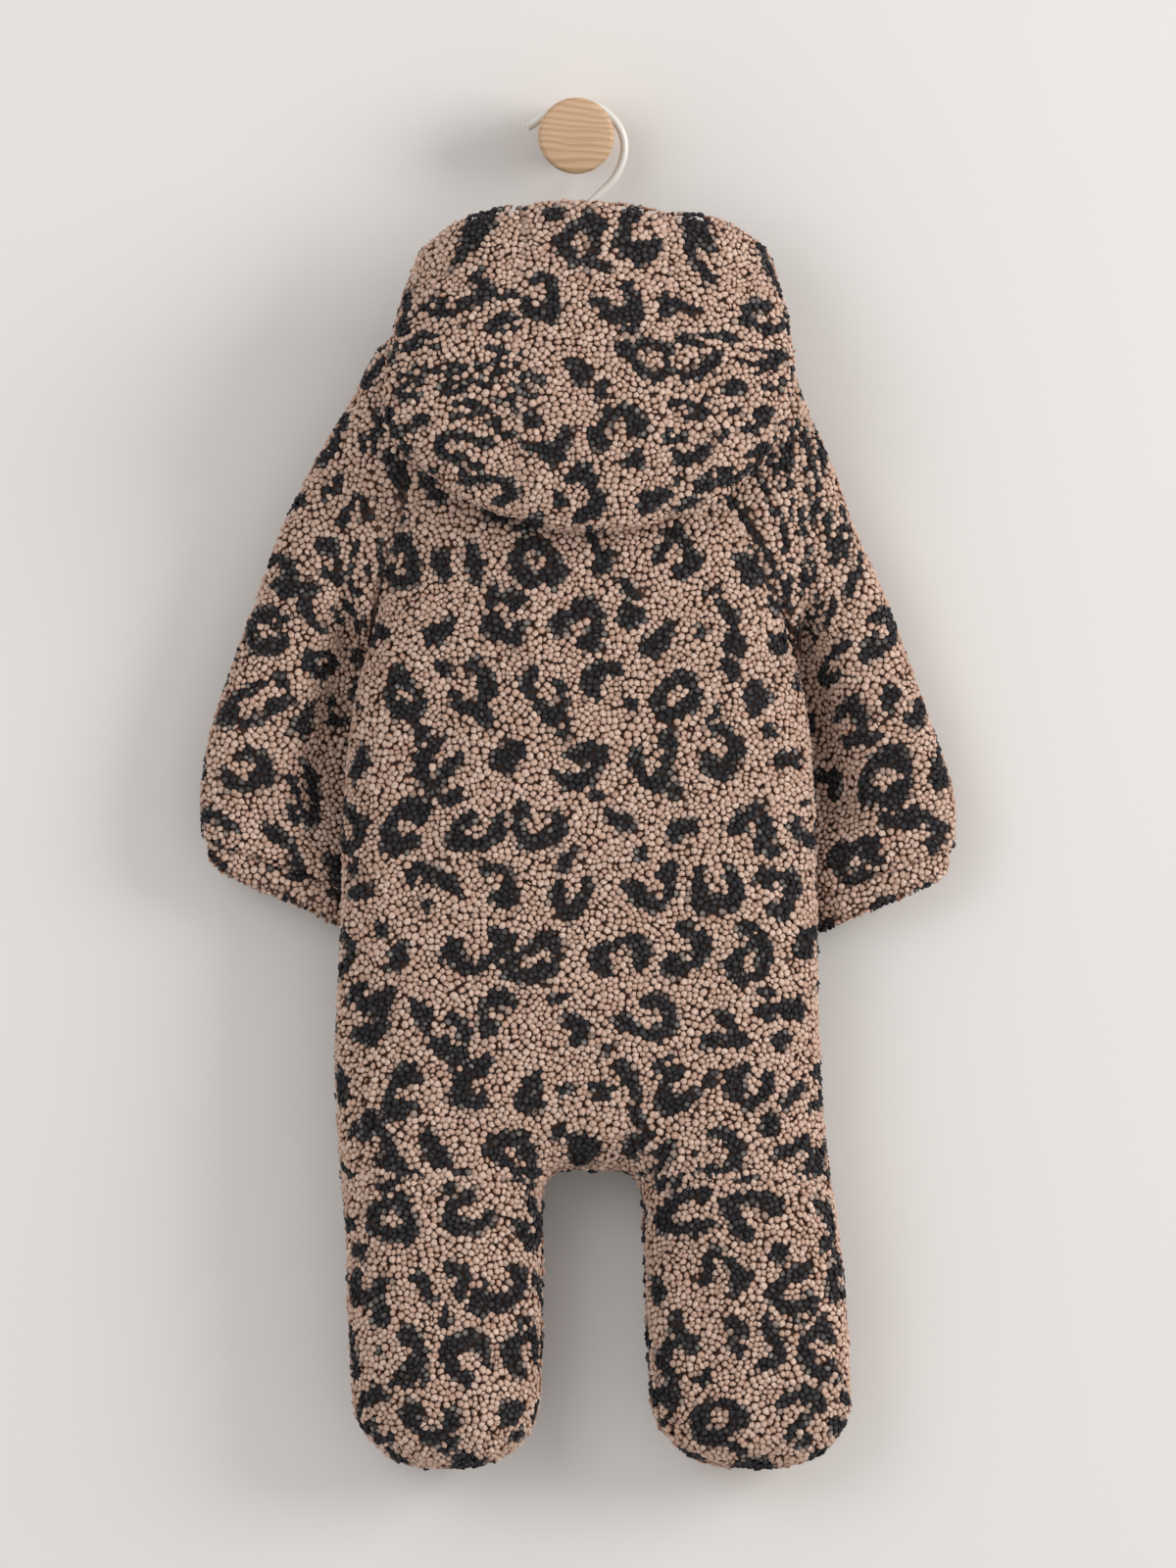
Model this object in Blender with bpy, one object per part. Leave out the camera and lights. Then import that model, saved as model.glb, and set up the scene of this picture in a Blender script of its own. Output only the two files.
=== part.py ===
"""Hooded all-in-one for a baby, in borg fleece, hanging with its back to the room.

The origin is the middle of the wall peg's flat back face. +Z is up and +Y points into the wall,
so the garment hangs at negative Y and its back faces -Y. Tables are in millimetres.
"""

import math

import bmesh
import bpy
import numpy as np

MM = 0.001

# The cloth
CLOTH = 5.5 * MM  # knitted backing and curled pile
SEAM = 0.3 * MM  # between two pieces that are sewn together
ROUNDNESS = 2.5  # exponent of the body's cross-sections

# The body, a row for each level below the peg: its edges, middle plane and half depth
BODY_COLUMNS = ("drop", "left", "right", "middle", "depth")
BODY = (
    (90, -52, 64, -40, 21),
    (115, -78, 90, -40, 26),
    (150, -97, 104, -40, 29),
    (200, -100, 105, -40, 31),
    (246, -102, 106, -40, 32),
    (290, -113.5, 117, -40, 33),
    (331, -118, 121, -40, 33),
    (415, -120.5, 123, -40, 33),
    (470, -123, 124.5, -40, 33),
    (514, -121, 127, -40, 32),
    (560, -117.5, 134, -39, 30),
    (620, -115.5, 139, -38, 29),
    (650, -113.5, 140, -37, 29),
    (700, -111, 141, -37, 29),
)
# The gap between the legs, a row for each level
GAP_COLUMNS = ("drop", "left", "right")
GAP = ((527, -18, 34), (620, -18.5, 37), (700, -22, 43))
CROTCH = 527 * MM
CROTCH_CORNER = 13 * MM  # radius of the gap's two top corners
LEG_START = 440 * MM  # from here down the section turns from one body to two legs
FOOT_TOP = 645 * MM
FOOT_LENGTH = 34 * MM
FOOT_ROUND = 2.0  # exponent of the foot's rounded end

# The soft folds of the back (side -1) and front (side 1): a row runs from one point to another and is
# a trough where its height is negative
FOLD_COLUMNS = ("side", "from_x", "from_drop", "to_x", "to_drop", "width", "height")
FOLDS = (
    (-1, -40, 545, -36, 632, 11, -3.0),
    (-1, 60, 565, 72, 640, 11, -3.0),
    (-1, -14, 520, -62, 562, 9, 3.0),
    (-1, 74, 478, 44, 524, 9, 2.5),
    (-1, -72, 285, -84, 400, 12, -2.5),
    (-1, 52, 370, 62, 470, 12, -2.5),
    (-1, -18, 215, -30, 335, 14, 2.5),
    (-1, 84, 240, 98, 380, 11, 2.5),
    (1, -60, 260, -72, 400, 14, -2.5),
    (1, 70, 230, 84, 360, 14, -2.5),
    (1, -62, 545, -72, 630, 12, -3.0),
    (1, 84, 550, 78, 640, 12, -3.0),
    (1, 40, 505, 78, 548, 10, 2.5),
)

# Where the raglan seams start, bend and end, as x and drop
RAGLAN = {
    "left": ((-102, 246), (-91, 173), (-41, 100)),
    "right": ((106, 246), (70.5, 182), (53, 100)),
}
NAPE_DIP = 13 * MM
THROAT_DIP = 28 * MM
SHOULDER_RISE = 3 * MM

# The sleeves, a row for each section from the raglan seam to the wrist. Their inner edges hang behind the
# body's edges
SLEEVE_COLUMNS = ("inner_x", "inner_drop", "outer_x", "outer_drop", "inner_y", "outer_y", "depth", "free")
SLEEVES = {
    "left": (
        (-102, 246, -41, 100, -40, -40, 22, 0.0),
        (-104, 248.5, -70, 99, -39, -39.5, 21, 0.35),
        (-105.5, 252, -97, 107, -36, -38, 20.5, 0.7),
        (-105.5, 256.5, -114, 136, -31, -36.5, 20, 0.92),
        (-105.5, 262, -131, 164, -26.5, -34.5, 19.5, 1.0),
        (-105.5, 269, -148, 198, -22, -33, 19, 1.0),
        (-106, 279, -162, 235, -18.5, -31, 18.5, 1.0),
        (-107, 297, -175, 271, -16, -29.5, 18, 1.0),
        (-109, 326, -186, 305, -15, -28.5, 17, 1.0),
        (-110, 356, -190.5, 332, -15, -28, 17, 1.0),
        (-111, 384, -190.5, 356, -15.5, -27.5, 17, 1.0),
    ),
    "right": (
        (106, 246, 53, 100, -40, -40, 22, 0.0),
        (108, 248.5, 80, 99, -39, -39.5, 21, 0.35),
        (109.5, 252, 104, 109, -36, -38, 20.5, 0.7),
        (109.5, 256.5, 116, 138, -31, -36.5, 20, 0.92),
        (109.5, 262, 129, 167, -26.5, -34.5, 19.5, 1.0),
        (109.5, 269, 141, 200, -22, -33, 19, 1.0),
        (110, 279, 157, 236, -18.5, -31, 18.5, 1.0),
        (110.5, 297, 170, 272, -16, -29.5, 18, 1.0),
        (112, 326, 183, 308, -15, -28.5, 17, 1.0),
        (113, 358, 191.5, 335, -15, -28, 17, 1.0),
        (114, 388, 192.5, 361, -15.5, -27.5, 17, 1.0),
    ),
}
SLEEVE_ROUNDNESS = 2.2
HOLLOW = 0.6  # how much flatter a sleeve's back is beside the body
HOLLOW_REACH = (0.12, 0.36)  # where that ends, as shares of the sleeve's width
HOLLOW_STARTS, HOLLOW_ENDS = (4.4, 6), (8.0, 9.4)  # rows of the sleeve's table
UNDERARM_THINNING = 0.7

# The cuff layer, a row for each ring: how far past the sleeve's end, and how far inside its surface
CUFF_COLUMNS = ("past", "inset")
CUFF = ((-14, 6.4), (-5, 6.2), (0.6, 6.0), (4, 4.0), (9, 3.2), (14, 4.2), (17, 6.5))
CUFF_WALL = 4 * MM

# The hood, a row for each turn around the neck from the front left (-180) over the nape (0)
HOOD_COLUMNS = ("turn", "fold_x", "fold_y", "fold_drop", "bulge_x", "bulge_y", "bulge_drop",
                "rim_x", "rim_y", "rim_drop")
HOOD = (
    (-178, 1, -13.5, 121, 0, -13.5, 118, -1, -13, 112),
    (-135, -32, -16.5, 99, -35, -17, 94, -39, -16.5, 86),
    (-118, -44.5, -23.5, 87, -49, -25, 82, -60, -28, 75),
    (-98, -59, -42, 84, -76, -42, 76, -81, -41, 66),
    (-84, -82, -66, 99, -90, -60, 90, -80, -48, 61),
    (-70, -90, -77, 150, -97.5, -82, 131, -76, -57, 56),
    (-50, -64, -84, 179, -74, -98, 143, -57, -69, 43.5),
    (-25, -26, -86, 196, -29, -105, 150, -26, -77, 37),
    (0, 10, -86, 201, 9, -107, 152, 8, -80, 35.5),
    (25, 46, -86, 195, 48, -105, 148, 44, -77, 40),
    (50, 74, -84, 183, 86, -97, 138, 74, -69, 44.5),
    (70, 95, -77, 157, 110, -82, 125, 94, -57, 56),
    (84, 98, -66, 101, 106, -60, 90, 98, -48, 61),
    (98, 72, -42, 84, 92, -42, 76, 99, -41, 66),
    (118, 56.5, -23.5, 87, 61, -25, 82, 72, -28, 75),
    (135, 44, -16.5, 99, 47, -17, 94, 51, -16.5, 86),
    (178, 11, -13.5, 121, 12, -13.5, 118, 13, -13, 112),
)
HOOD_SIDE_TURNS = (178, 165, 150, 135, 126, 120, 110, 98, 86, 76, 68, 60, 48, 36, 25)  # a side's columns
HOOD_CENTRE_TURNS = (-25, -15, -5, 5, 15, 25)
HOOD_STEPS = (0, 0.5, 1, 1.5, 2, 3, 3.6, 4, 4.33, 4.67, 5, 5.5, 6, 6.5, 7, 7.5, 8)
FOLD_RADIUS = 9.5 * MM
# The hood's way from the neck edge: over the seam, then beside it or hanging down behind
OVER_OUT, OVER_OUT_FRONT = 3.5 * MM, 0.6 * MM
OVER_UP, OVER_UP_BACK = 4 * MM, 6 * MM
HANG_OUT, HANG_OUT_BACK, HANG_OUT_FRONT = 6 * MM, 9.5 * MM, 1.5 * MM
HANG_UP, HANG_DOWN_BACK = 9 * MM, 8 * MM
SHOULDER_TURN, SHOULDER_SPREAD = 68, 16  # where the hood lies over the shoulders, and how wide
SHOULDER_OUT, SHOULDER_UP = 4 * MM, 7 * MM
UPPER_BULGE = 5 * MM
NECK_CORNER_TURN = 60  # degrees from the nape to the end of the back panel's neck edge

# The front zip
ZIP_X = 6 * MM
ZIP_END = 440 * MM
ZIP_GAP = 4 * MM  # from its middle to each front's edge
ZIP_TAPE = 11 * MM  # half width of the tape
ZIP_TEETH = 2.6 * MM  # half width of the teeth
TEETH_HEIGHT = 2.2 * MM
TAPE_THICKNESS = 1 * MM
TAPE_ABOVE_THROAT = 3 * MM
TAPE_ABOVE_END = 2 * MM
SLIDER_THICKNESS = 5.9 * MM
SLIDER_ABOVE, SLIDER_BELOW = 3 * MM, 6 * MM  # from the hinge
SLIDER_EAR = 1.3 * MM
PULL_Y = -9.3 * MM
PULL_DROP = 138 * MM  # the pull's hinge
PULL_BARREL = 1.3 * MM
PULL_LENGTH = 24 * MM
PULL_BACK, PULL_FRONT = -0.8 * MM, 0.7 * MM  # the tab's faces, from the hinge
PULL_TIP, PULL_TIP_SIDE = 0.6 * MM, 0.4 * MM  # its slanted edges

# Hanger and peg
WIRE = 2.1 * MM
HOOK_COLUMNS = ("x", "y", "drop")
HOOK = (
    (-25.5, -25.5, -4.2), (-22.5, -23.8, -5.6), (-18.5, -22.6, -8.7), (-12, -22, -13.0),
    (-4, -22, -16.1), (4, -22, -16.6), (11.5, -22, -14.2), (18, -22, -9.5), (22.8, -22, -2.5),
    (24.6, -22, 5.5), (23, -22.4, 14.5), (18.8, -23.2, 22.5), (12, -24.4, 29.5), (5, -26, 36.5),
    (2.5, -28, 43), (2, -31, 55), (2, -37.2, 99.2),
)
ARM_RADIUS = 3.6 * MM
ARM_MIDDLE = (2, -38, 103.5)
ARM_END_DROP = 115.5
ARM_ENDS = (-86, 92)
SHAFT_RADIUS = 14 * MM
SHAFT_LENGTH = 30 * MM
KNOB_RADIUS = 19.5 * MM
KNOB_LENGTH = 15 * MM
KNOB_EDGE = 2.5 * MM

# Mesh fineness
BODY_COLS = 20
LEG_COLS = 8
RAGLAN_ROWS = 9
CAP_COLS = 3
TRUNK_DROPS = (278, 311, 343, 375, 408, 440, 447, 477)
CROTCH_FAN = 50 * MM  # the rows above the crotch crowd towards it over this length
CROTCH_FAN_TURNS = (18, 36, 54, 72)
SPLIT_START = 380 * MM  # from here down the columns move towards the legs
LEG_DROPS = (536.5, 541, 562, 590, 618, 645)
TOE_TURNS = (22, 45, 67, 90)


# ---------------------------------------------------------------- tables and curves

def column(table, names, name):
    """One column of a table, in metres unless it holds degrees or shares."""
    values = np.array([row[names.index(name)] for row in table], float)
    return values if name in ("turn", "free") else values * MM


def smooth(keys, values, at):
    """Cubic Hermite curve through a table's rows, straight past both ends."""
    at = np.asarray(at, float)
    slopes = np.gradient(values, keys, axis=0)
    i = np.clip(np.searchsorted(keys, at) - 1, 0, len(keys) - 2)
    wide = (*at.shape, *[1] * (values.ndim - 1))
    step = (keys[i + 1] - keys[i]).reshape(wide)
    t = (at - keys[i]).reshape(wide) / step
    inside = np.clip(t, 0, 1)
    past = (t - inside) * step
    squared, cubed = inside ** 2, inside ** 3
    curve = (
        (2 * cubed - 3 * squared + 1) * values[i]
        + (cubed - 2 * squared + inside) * step * slopes[i]
        + (3 * squared - 2 * cubed) * values[i + 1]
        + (cubed - squared) * step * slopes[i + 1]
    )
    return curve + past * np.where(past < 0, slopes[i], slopes[i + 1])


def ease(low, high, at):
    """0 below low, 1 above high, and a smooth step between them."""
    t = np.clip((at - low) / (high - low), 0, 1)
    return t * t * (3 - 2 * t)


# ---------------------------------------------------------------- the body's surface

def body_row(name, drop):
    return smooth(column(BODY, BODY_COLUMNS, "drop"), column(BODY, BODY_COLUMNS, name), drop)


def gap_edge(name, drop):
    return smooth(column(GAP, GAP_COLUMNS, "drop"), column(GAP, GAP_COLUMNS, name), drop)


def rounded(distance, reach):
    """0 at an edge, 1 from reach onwards, as a superellipse's squared height."""
    left = 1 - distance / reach
    return 1 - np.sign(left) * np.abs(np.clip(left, 0, None)) ** ROUNDNESS


def gap_distance(x, drop):
    """Distance to the gap between the legs, whose top corners are rounded."""
    aside = np.maximum(gap_edge("left", drop) - x, x - gap_edge("right", drop)) + CROTCH_CORNER
    above = CROTCH - drop + CROTCH_CORNER
    outside = np.hypot(np.maximum(aside, 0), np.maximum(above, 0))
    return outside + np.minimum(np.maximum(aside, above), 0) - CROTCH_CORNER


def squared_depth(x, drop):
    """Square of the distance from the body's middle plane to its surface."""
    left, right = body_row("left", drop), body_row("right", drop)
    half_body = (right - left) / 2
    half_left_leg = (gap_edge("left", drop) - left) / 2
    half_right_leg = (right - gap_edge("right", drop)) / 2
    legs = ease(LEG_START, CROTCH + CROTCH_CORNER, drop)
    half_leg = np.where(x < ZIP_X, half_left_leg, half_right_leg)
    from_left = rounded(x - left, half_body + (half_left_leg - half_body) * legs)
    from_right = rounded(right - x, half_body + (half_right_leg - half_body) * legs)
    from_gap = rounded(gap_distance(x, drop), half_leg)
    toe = np.clip((drop - FOOT_TOP) / FOOT_LENGTH, 0, None) ** FOOT_ROUND
    return body_row("depth", drop) ** 2 * (from_left * from_right * from_gap - toe)


def fold_height(x, drop, side):
    """How far the folds lift the cloth: each is a bell across its line and fades at both ends."""
    lift = np.zeros_like(x)
    for row in FOLDS:
        if row[0] == side:
            fold = {name: value * MM for name, value in zip(FOLD_COLUMNS[1:], row[1:])}
            span_x, span_drop = fold["to_x"] - fold["from_x"], fold["to_drop"] - fold["from_drop"]
            length = math.hypot(span_x, span_drop)
            way_x, way_drop = span_x / length, span_drop / length
            from_x, from_drop = x - fold["from_x"], drop - fold["from_drop"]
            along = (from_x * way_x + from_drop * way_drop) / length
            aside = from_x * way_drop - from_drop * way_x
            fade = ease(-0.2, 0.3, along) * (1 - ease(0.7, 1.2, along))
            lift += fold["height"] * fade * np.exp(-(aside / fold["width"]) ** 2)
    return lift


def body_surface(x, drop, side):
    """The body's outer surface at side -1, the back, or +1, the front, and its normals."""
    squared = np.clip(squared_depth(x, drop), 0, None)
    offset = side * np.sqrt(squared)
    points = np.stack([x, body_row("middle", drop) + offset, -drop], -1)
    tiny = 0.2 * MM
    across = (squared_depth(x + tiny, drop) - squared_depth(x - tiny, drop)) / (4 * tiny)
    down = (squared_depth(x, drop + tiny) - squared_depth(x, drop - tiny)) / (4 * tiny)
    normals = unit(np.stack([-across, offset, down], -1))
    shallow = ease(0, 0.5, np.abs(offset) / body_row("depth", drop))
    return points + normals * (fold_height(x, drop, side) * shallow)[..., None], normals


def raglan(side, share):
    """x and drop along a raglan seam, from the underarm (0) to the neck (1)."""
    start, bend, end = (np.array(p) * MM for p in RAGLAN[side])
    share = np.asarray(share, float)[..., None]
    curve = (1 - share) ** 2 * start + 2 * share * (1 - share) * bend + share ** 2 * end
    return curve[..., 0], curve[..., 1]


def raglan_shares():
    return np.linspace(0, 1, RAGLAN_ROWS + 1) ** 1.4


def even_turn(count):
    """Shares from -1 to 1 that crowd towards both ends, for a superellipse's columns."""
    turn = np.sin(np.linspace(-math.pi / 2, math.pi / 2, count + 1))
    return np.sign(turn) * np.abs(turn) ** (2 / ROUNDNESS)


def yoke_rows(dip):
    """x and drop of the rows between the raglan seams, from the neck down to the underarms."""
    shares = raglan_shares()[::-1]
    left_x, left_drop = raglan("left", shares)
    right_x, right_drop = raglan("right", shares)
    along = (even_turn(BODY_COLS) + 1) / 2
    x = left_x[:, None] + (right_x - left_x)[:, None] * along
    drop = left_drop[:, None] + (right_drop - left_drop)[:, None] * along
    sag = dip * (1 - (2 * along - 1) ** 2)
    return x, drop + sag * shares[:, None] ** 2


def split_columns(drop_leg, drop_gap):
    """x of the columns of a row at the crotch: left leg, gap and right leg."""
    left, right = body_row("left", drop_leg), body_row("right", drop_leg)
    sink = np.clip(CROTCH + CROTCH_CORNER - drop_gap, 0, CROTCH_CORNER)
    corner = CROTCH_CORNER - np.sqrt(CROTCH_CORNER ** 2 - sink ** 2)
    inner_left = gap_edge("left", drop_gap) + corner
    inner_right = gap_edge("right", drop_gap) - corner
    turn = (even_turn(LEG_COLS) + 1) / 2
    gap = np.linspace(0, 1, BODY_COLS - 2 * LEG_COLS + 1)[1:-1]
    return np.concatenate([
        left + (inner_left - left) * turn,
        inner_left + (inner_right - inner_left) * gap,
        inner_right + (right - inner_right) * turn,
    ])


def trunk_rows():
    """x and drop of the rows from below the underarms to the crotch."""
    corner_drop = CROTCH + CROTCH_CORNER * (1 - math.sqrt(0.5))
    lower = CROTCH - CROTCH_FAN * (1 - np.sin(np.radians(CROTCH_FAN_TURNS)))
    drops = np.concatenate([np.array(TRUNK_DROPS) * MM, lower])
    at_crotch = split_columns(corner_drop, corner_drop)
    share = (even_turn(BODY_COLS) + 1) / 2
    left, right = body_row("left", drops)[:, None], body_row("right", drops)[:, None]
    x = left + (right - left) * share
    as_legs = left + (right - left) * (at_crotch - at_crotch[0]) / (at_crotch[-1] - at_crotch[0])
    legs = ease(SPLIT_START, CROTCH, drops)[:, None]
    x = x + (as_legs - x) * legs
    crotch_drop = np.full(BODY_COLS + 1, corner_drop)
    middle = slice(LEG_COLS, BODY_COLS - LEG_COLS + 1)
    between = at_crotch[middle]
    aside = np.minimum(between - gap_edge("left", CROTCH), gap_edge("right", CROTCH) - between)
    curved = np.clip(CROTCH_CORNER - aside, 0, CROTCH_CORNER)
    crotch_drop[middle] = CROTCH + CROTCH_CORNER - np.sqrt(CROTCH_CORNER ** 2 - curved ** 2)
    x = np.vstack([x, at_crotch])
    drop = np.vstack([np.repeat(drops[:, None], BODY_COLS + 1, 1), crotch_drop])
    return x, drop


def leg_rows(side):
    """x and drop of one leg's rows, from below the crotch to the toe."""
    drops = np.array(LEG_DROPS) * MM
    columns = slice(0, LEG_COLS + 1) if side == "left" else slice(BODY_COLS - LEG_COLS, BODY_COLS + 1)
    x = np.array([split_columns(d, d)[columns] for d in drops])
    drop = np.repeat(drops[:, None], LEG_COLS + 1, 1)
    p = np.sin(np.linspace(-math.pi / 2, math.pi / 2, LEG_COLS + 1))
    for q in np.sin(np.radians(TOE_TURNS)):
        across = p * math.sqrt(1 - q * q / 2)
        toe = (q * np.sqrt(1 - p * p / 2)) ** (2 / FOOT_ROUND)
        d = FOOT_TOP + FOOT_LENGTH * toe
        outer = body_row(side, d)
        inner = gap_edge(side, d)
        low, high = np.minimum(outer, inner), np.maximum(outer, inner)
        s = np.sign(across) * np.abs(across) ** (2 / ROUNDNESS)
        x = np.vstack([x, (low + high) / 2 + (high - low) / 2 * s])
        drop = np.vstack([drop, d])
    return x, drop


# ---------------------------------------------------------------- making solids

def material(name, colour, roughness, metallic=0.0):
    made = bpy.data.materials.new(name)
    made.use_nodes = True
    shader = made.node_tree.nodes["Principled BSDF"]
    shader.inputs["Base Color"].default_value = (*colour, 1)
    shader.inputs["Roughness"].default_value = roughness
    shader.inputs["Metallic"].default_value = metallic
    return made


def add_object(name, mesh, collection, made):
    mesh.materials.append(made)
    mesh.shade_smooth()
    mesh.set_sharp_from_angle(angle=math.radians(50))
    thing = bpy.data.objects.new(name, mesh)
    collection.objects.link(thing)
    return thing


def grid_faces(rows, cols, first, ring):
    """Quads of a grid whose first point has the number first."""
    row, col = np.meshgrid(np.arange(rows - 1), np.arange(cols if ring else cols - 1), indexing="ij")
    right = (col + 1) % cols
    quads = [row * cols + col, row * cols + right, (row + 1) * cols + right, (row + 1) * cols + col]
    return np.stack(quads, -1).reshape(-1, 4) + first


def cloth_wall(name, patches, collection, made):
    """One closed solid from patches of (outer points, inner points, ring), joined where they meet."""
    mesh = bpy.data.meshes.new(name)
    points, faces, start = [], [], 0
    for outer, inner, ring in patches:
        rows, cols = outer.shape[:2]
        count = rows * cols
        points += [outer.reshape(-1, 3), inner.reshape(-1, 3)]
        faces += [grid_faces(rows, cols, start, ring), grid_faces(rows, cols, start + count, ring)[:, ::-1]]
        start += 2 * count
    mesh.from_pydata(np.vstack(points).tolist(), [], np.vstack(faces).tolist())
    cloth = bmesh.new()
    cloth.from_mesh(mesh)
    outer_of = {}
    start = 0
    cloth.verts.ensure_lookup_table()
    for outer, inner, ring in patches:
        count = outer.shape[0] * outer.shape[1]
        for i in range(count):
            outer_of[cloth.verts[start + i]] = cloth.verts[start + count + i]
        start += 2 * count
    merged = bmesh.ops.find_doubles(cloth, verts=cloth.verts, dist=0.02 * MM)["targetmap"]
    open_edges = []
    seen = {}
    for edge in cloth.edges:
        ends = [merged.get(v, v) for v in edge.verts]
        seen.setdefault(frozenset(ends), []).append(edge)
    for ends, edges in seen.items():
        if sum(len(e.link_faces) for e in edges) == 1 and len(ends) == 2:
            open_edges.append(edges[0])
    for edge in open_edges:
        a, b = edge.verts
        if a in outer_of and b in outer_of:
            cloth.faces.new((b, a, outer_of[a], outer_of[b]))
    bmesh.ops.remove_doubles(cloth, verts=cloth.verts, dist=0.02 * MM)
    bmesh.ops.recalc_face_normals(cloth, faces=cloth.faces)
    bmesh.ops.triangulate(cloth, faces=cloth.faces)
    cloth.to_mesh(mesh)
    cloth.free()
    return add_object(name, mesh, collection, made)


def body_patch(x, drop, side):
    points, normals = body_surface(x, drop, side)
    points[..., 1] += side * SEAM / 2
    return points, points - normals * CLOTH, False


def body_rows(dip):
    """The rows of the yoke and trunk, as one grid."""
    yoke_x, yoke_drop = yoke_rows(dip)
    trunk_x, trunk_drop = trunk_rows()
    return np.vstack([yoke_x, trunk_x]), np.vstack([yoke_drop, trunk_drop])


def with_leg(x, drop, side):
    """Crotch row of one leg, followed by the leg's own rows."""
    columns = slice(0, LEG_COLS + 1) if side == "left" else slice(BODY_COLS - LEG_COLS, BODY_COLS + 1)
    leg_x, leg_drop = leg_rows(side)
    return np.vstack([x[-1:, columns], leg_x]), np.vstack([drop[-1:, columns], leg_drop])


def build_back(collection, made):
    x, drop = body_rows(NAPE_DIP)
    patches = [body_patch(x, drop, -1)]
    patches += [body_patch(*with_leg(x, drop, side), -1) for side in ("left", "right")]
    return cloth_wall("back_panel", patches, collection, made)


def build_front(side, collection, made):
    """One front: its columns end at the zip, and below the zip at the centre seam."""
    x, drop = body_rows(THROAT_DIP)
    middle = BODY_COLS // 2
    sign = -1 if side == "left" else 1
    edge = np.where(drop[:, middle] <= ZIP_END, ZIP_GAP, SEAM / 2)
    x[:, middle] = ZIP_X + sign * edge
    columns = slice(0, middle + 1) if side == "left" else slice(middle, BODY_COLS + 1)
    patches = [body_patch(x[:, columns], drop[:, columns], 1), body_patch(*with_leg(x, drop, side), 1)]
    return cloth_wall("front_" + side, patches, collection, made)


# ---------------------------------------------------------------- sleeves and cuffs

def ring_shares():
    """Where each of a sleeve ring's columns lies on the raglan seams and the neck edge."""
    up = raglan_shares()
    cap = np.linspace(-1, 1, CAP_COLS + 1)[1:-1]
    share = np.concatenate([up, np.ones(len(cap)), up[::-1][:-1]])
    across = np.concatenate([-np.ones(len(up)), cap, np.ones(len(up) - 1)])
    turn = np.concatenate([
        np.linspace(0, 150, len(up)),
        np.linspace(150, 210, CAP_COLS + 1)[1:-1],
        np.linspace(210, 360, len(up))[:-1],
    ])
    return share, across, np.radians(turn)


def unit(vectors):
    return vectors / np.maximum(np.linalg.norm(vectors, axis=-1, keepdims=True), 1e-12)


def power(values, exponent):
    return np.sign(values) * np.abs(values) ** exponent


def sleeve_surface(side, at):
    """Rings of a sleeve at the table rows at (0 is the raglan seam), as an array of points."""
    table = SLEEVES[side]
    rows = np.arange(len(table), dtype=float)
    read = {n: smooth(rows, column(table, SLEEVE_COLUMNS, n), at)[:, None] for n in SLEEVE_COLUMNS}
    share, across, turn = ring_shares()
    seam_x, seam_drop = raglan(side, share)
    seam_depth = np.sqrt(np.clip(squared_depth(seam_x, seam_drop), 0, None)) * across
    seam_drop = seam_drop - SHOULDER_RISE * (1 - across ** 2)
    start, end = (np.array(RAGLAN[side][i]) * MM for i in (0, 2))
    chord = end - start
    length = math.hypot(*chord)
    off = np.stack([seam_x, seam_drop], -1) - start
    seam_along = off @ chord / length ** 2
    seam_aside = (off[:, 0] * chord[1] - off[:, 1] * chord[0]) / length
    free = np.clip(read["free"], 0, 1)
    along = seam_along + ((1 - power(np.cos(turn), 2 / SLEEVE_ROUNDNESS)) / 2 - seam_along) * free
    rows_at = np.asarray(at, float)[:, None]
    beside_body = (1 - ease(*HOLLOW_REACH, along)) * (np.sin(turn) > 0)
    beside_body = beside_body * ease(*HOLLOW_STARTS, rows_at) * (1 - ease(*HOLLOW_ENDS, rows_at))
    bulge = power(np.sin(turn), 2 / SLEEVE_ROUNDNESS) * read["depth"] * (1 - HOLLOW * beside_body)
    depth = seam_depth + (-bulge - seam_depth) * free
    aside = seam_aside * (1 - free)
    way_x = read["outer_x"] - read["inner_x"]
    way_drop = read["outer_drop"] - read["inner_drop"]
    reach = np.hypot(way_x, way_drop)
    x = read["inner_x"] + way_x * along + way_drop / reach * aside
    drop = read["inner_drop"] + way_drop * along - way_x / reach * aside
    middle = read["inner_y"] + (read["outer_y"] - read["inner_y"]) * along
    return np.stack([x, middle + depth, -drop], -1)


def ring_normals(side, at):
    """Outward normals of a sleeve's rings, which meet the body's own at the raglan seam."""
    tiny = 0.02
    down = sleeve_surface(side, at + tiny) - sleeve_surface(side, at - tiny)
    rings = sleeve_surface(side, at)
    around = np.roll(rings, -1, 1) - np.roll(rings, 1, 1)
    normals = unit(np.cross(around, down))
    outward = rings - rings.mean(1, keepdims=True)
    normals *= np.sign((normals * outward).sum((1, 2)))[:, None, None]
    share, across, turn = ring_shares()
    seam_x, seam_drop = raglan(side, share)
    back = body_surface(seam_x, seam_drop, -1)[1]
    front = body_surface(seam_x, seam_drop, 1)[1]
    seam = np.where(across[:, None] < 0, back, front)
    cap = np.abs(across) < 1
    seam[cap] = (0, 0, 1)
    agree = ease(0, 0.8, (normals * seam).sum(-1, keepdims=True))
    near = 1 - ease(0, 1.2, at)[:, None, None]
    return unit(normals + (seam - normals) * agree * near)


def sleeve_wall(at):
    """The wall is thinner where the two raglan seams meet under the arm."""
    share = ring_shares()[0]
    thin = (1 - ease(0, 2, at))[:, None] * (1 - ease(0, 0.35, share))
    return CLOTH * (1 - UNDERARM_THINNING * thin)[..., None]


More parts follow.
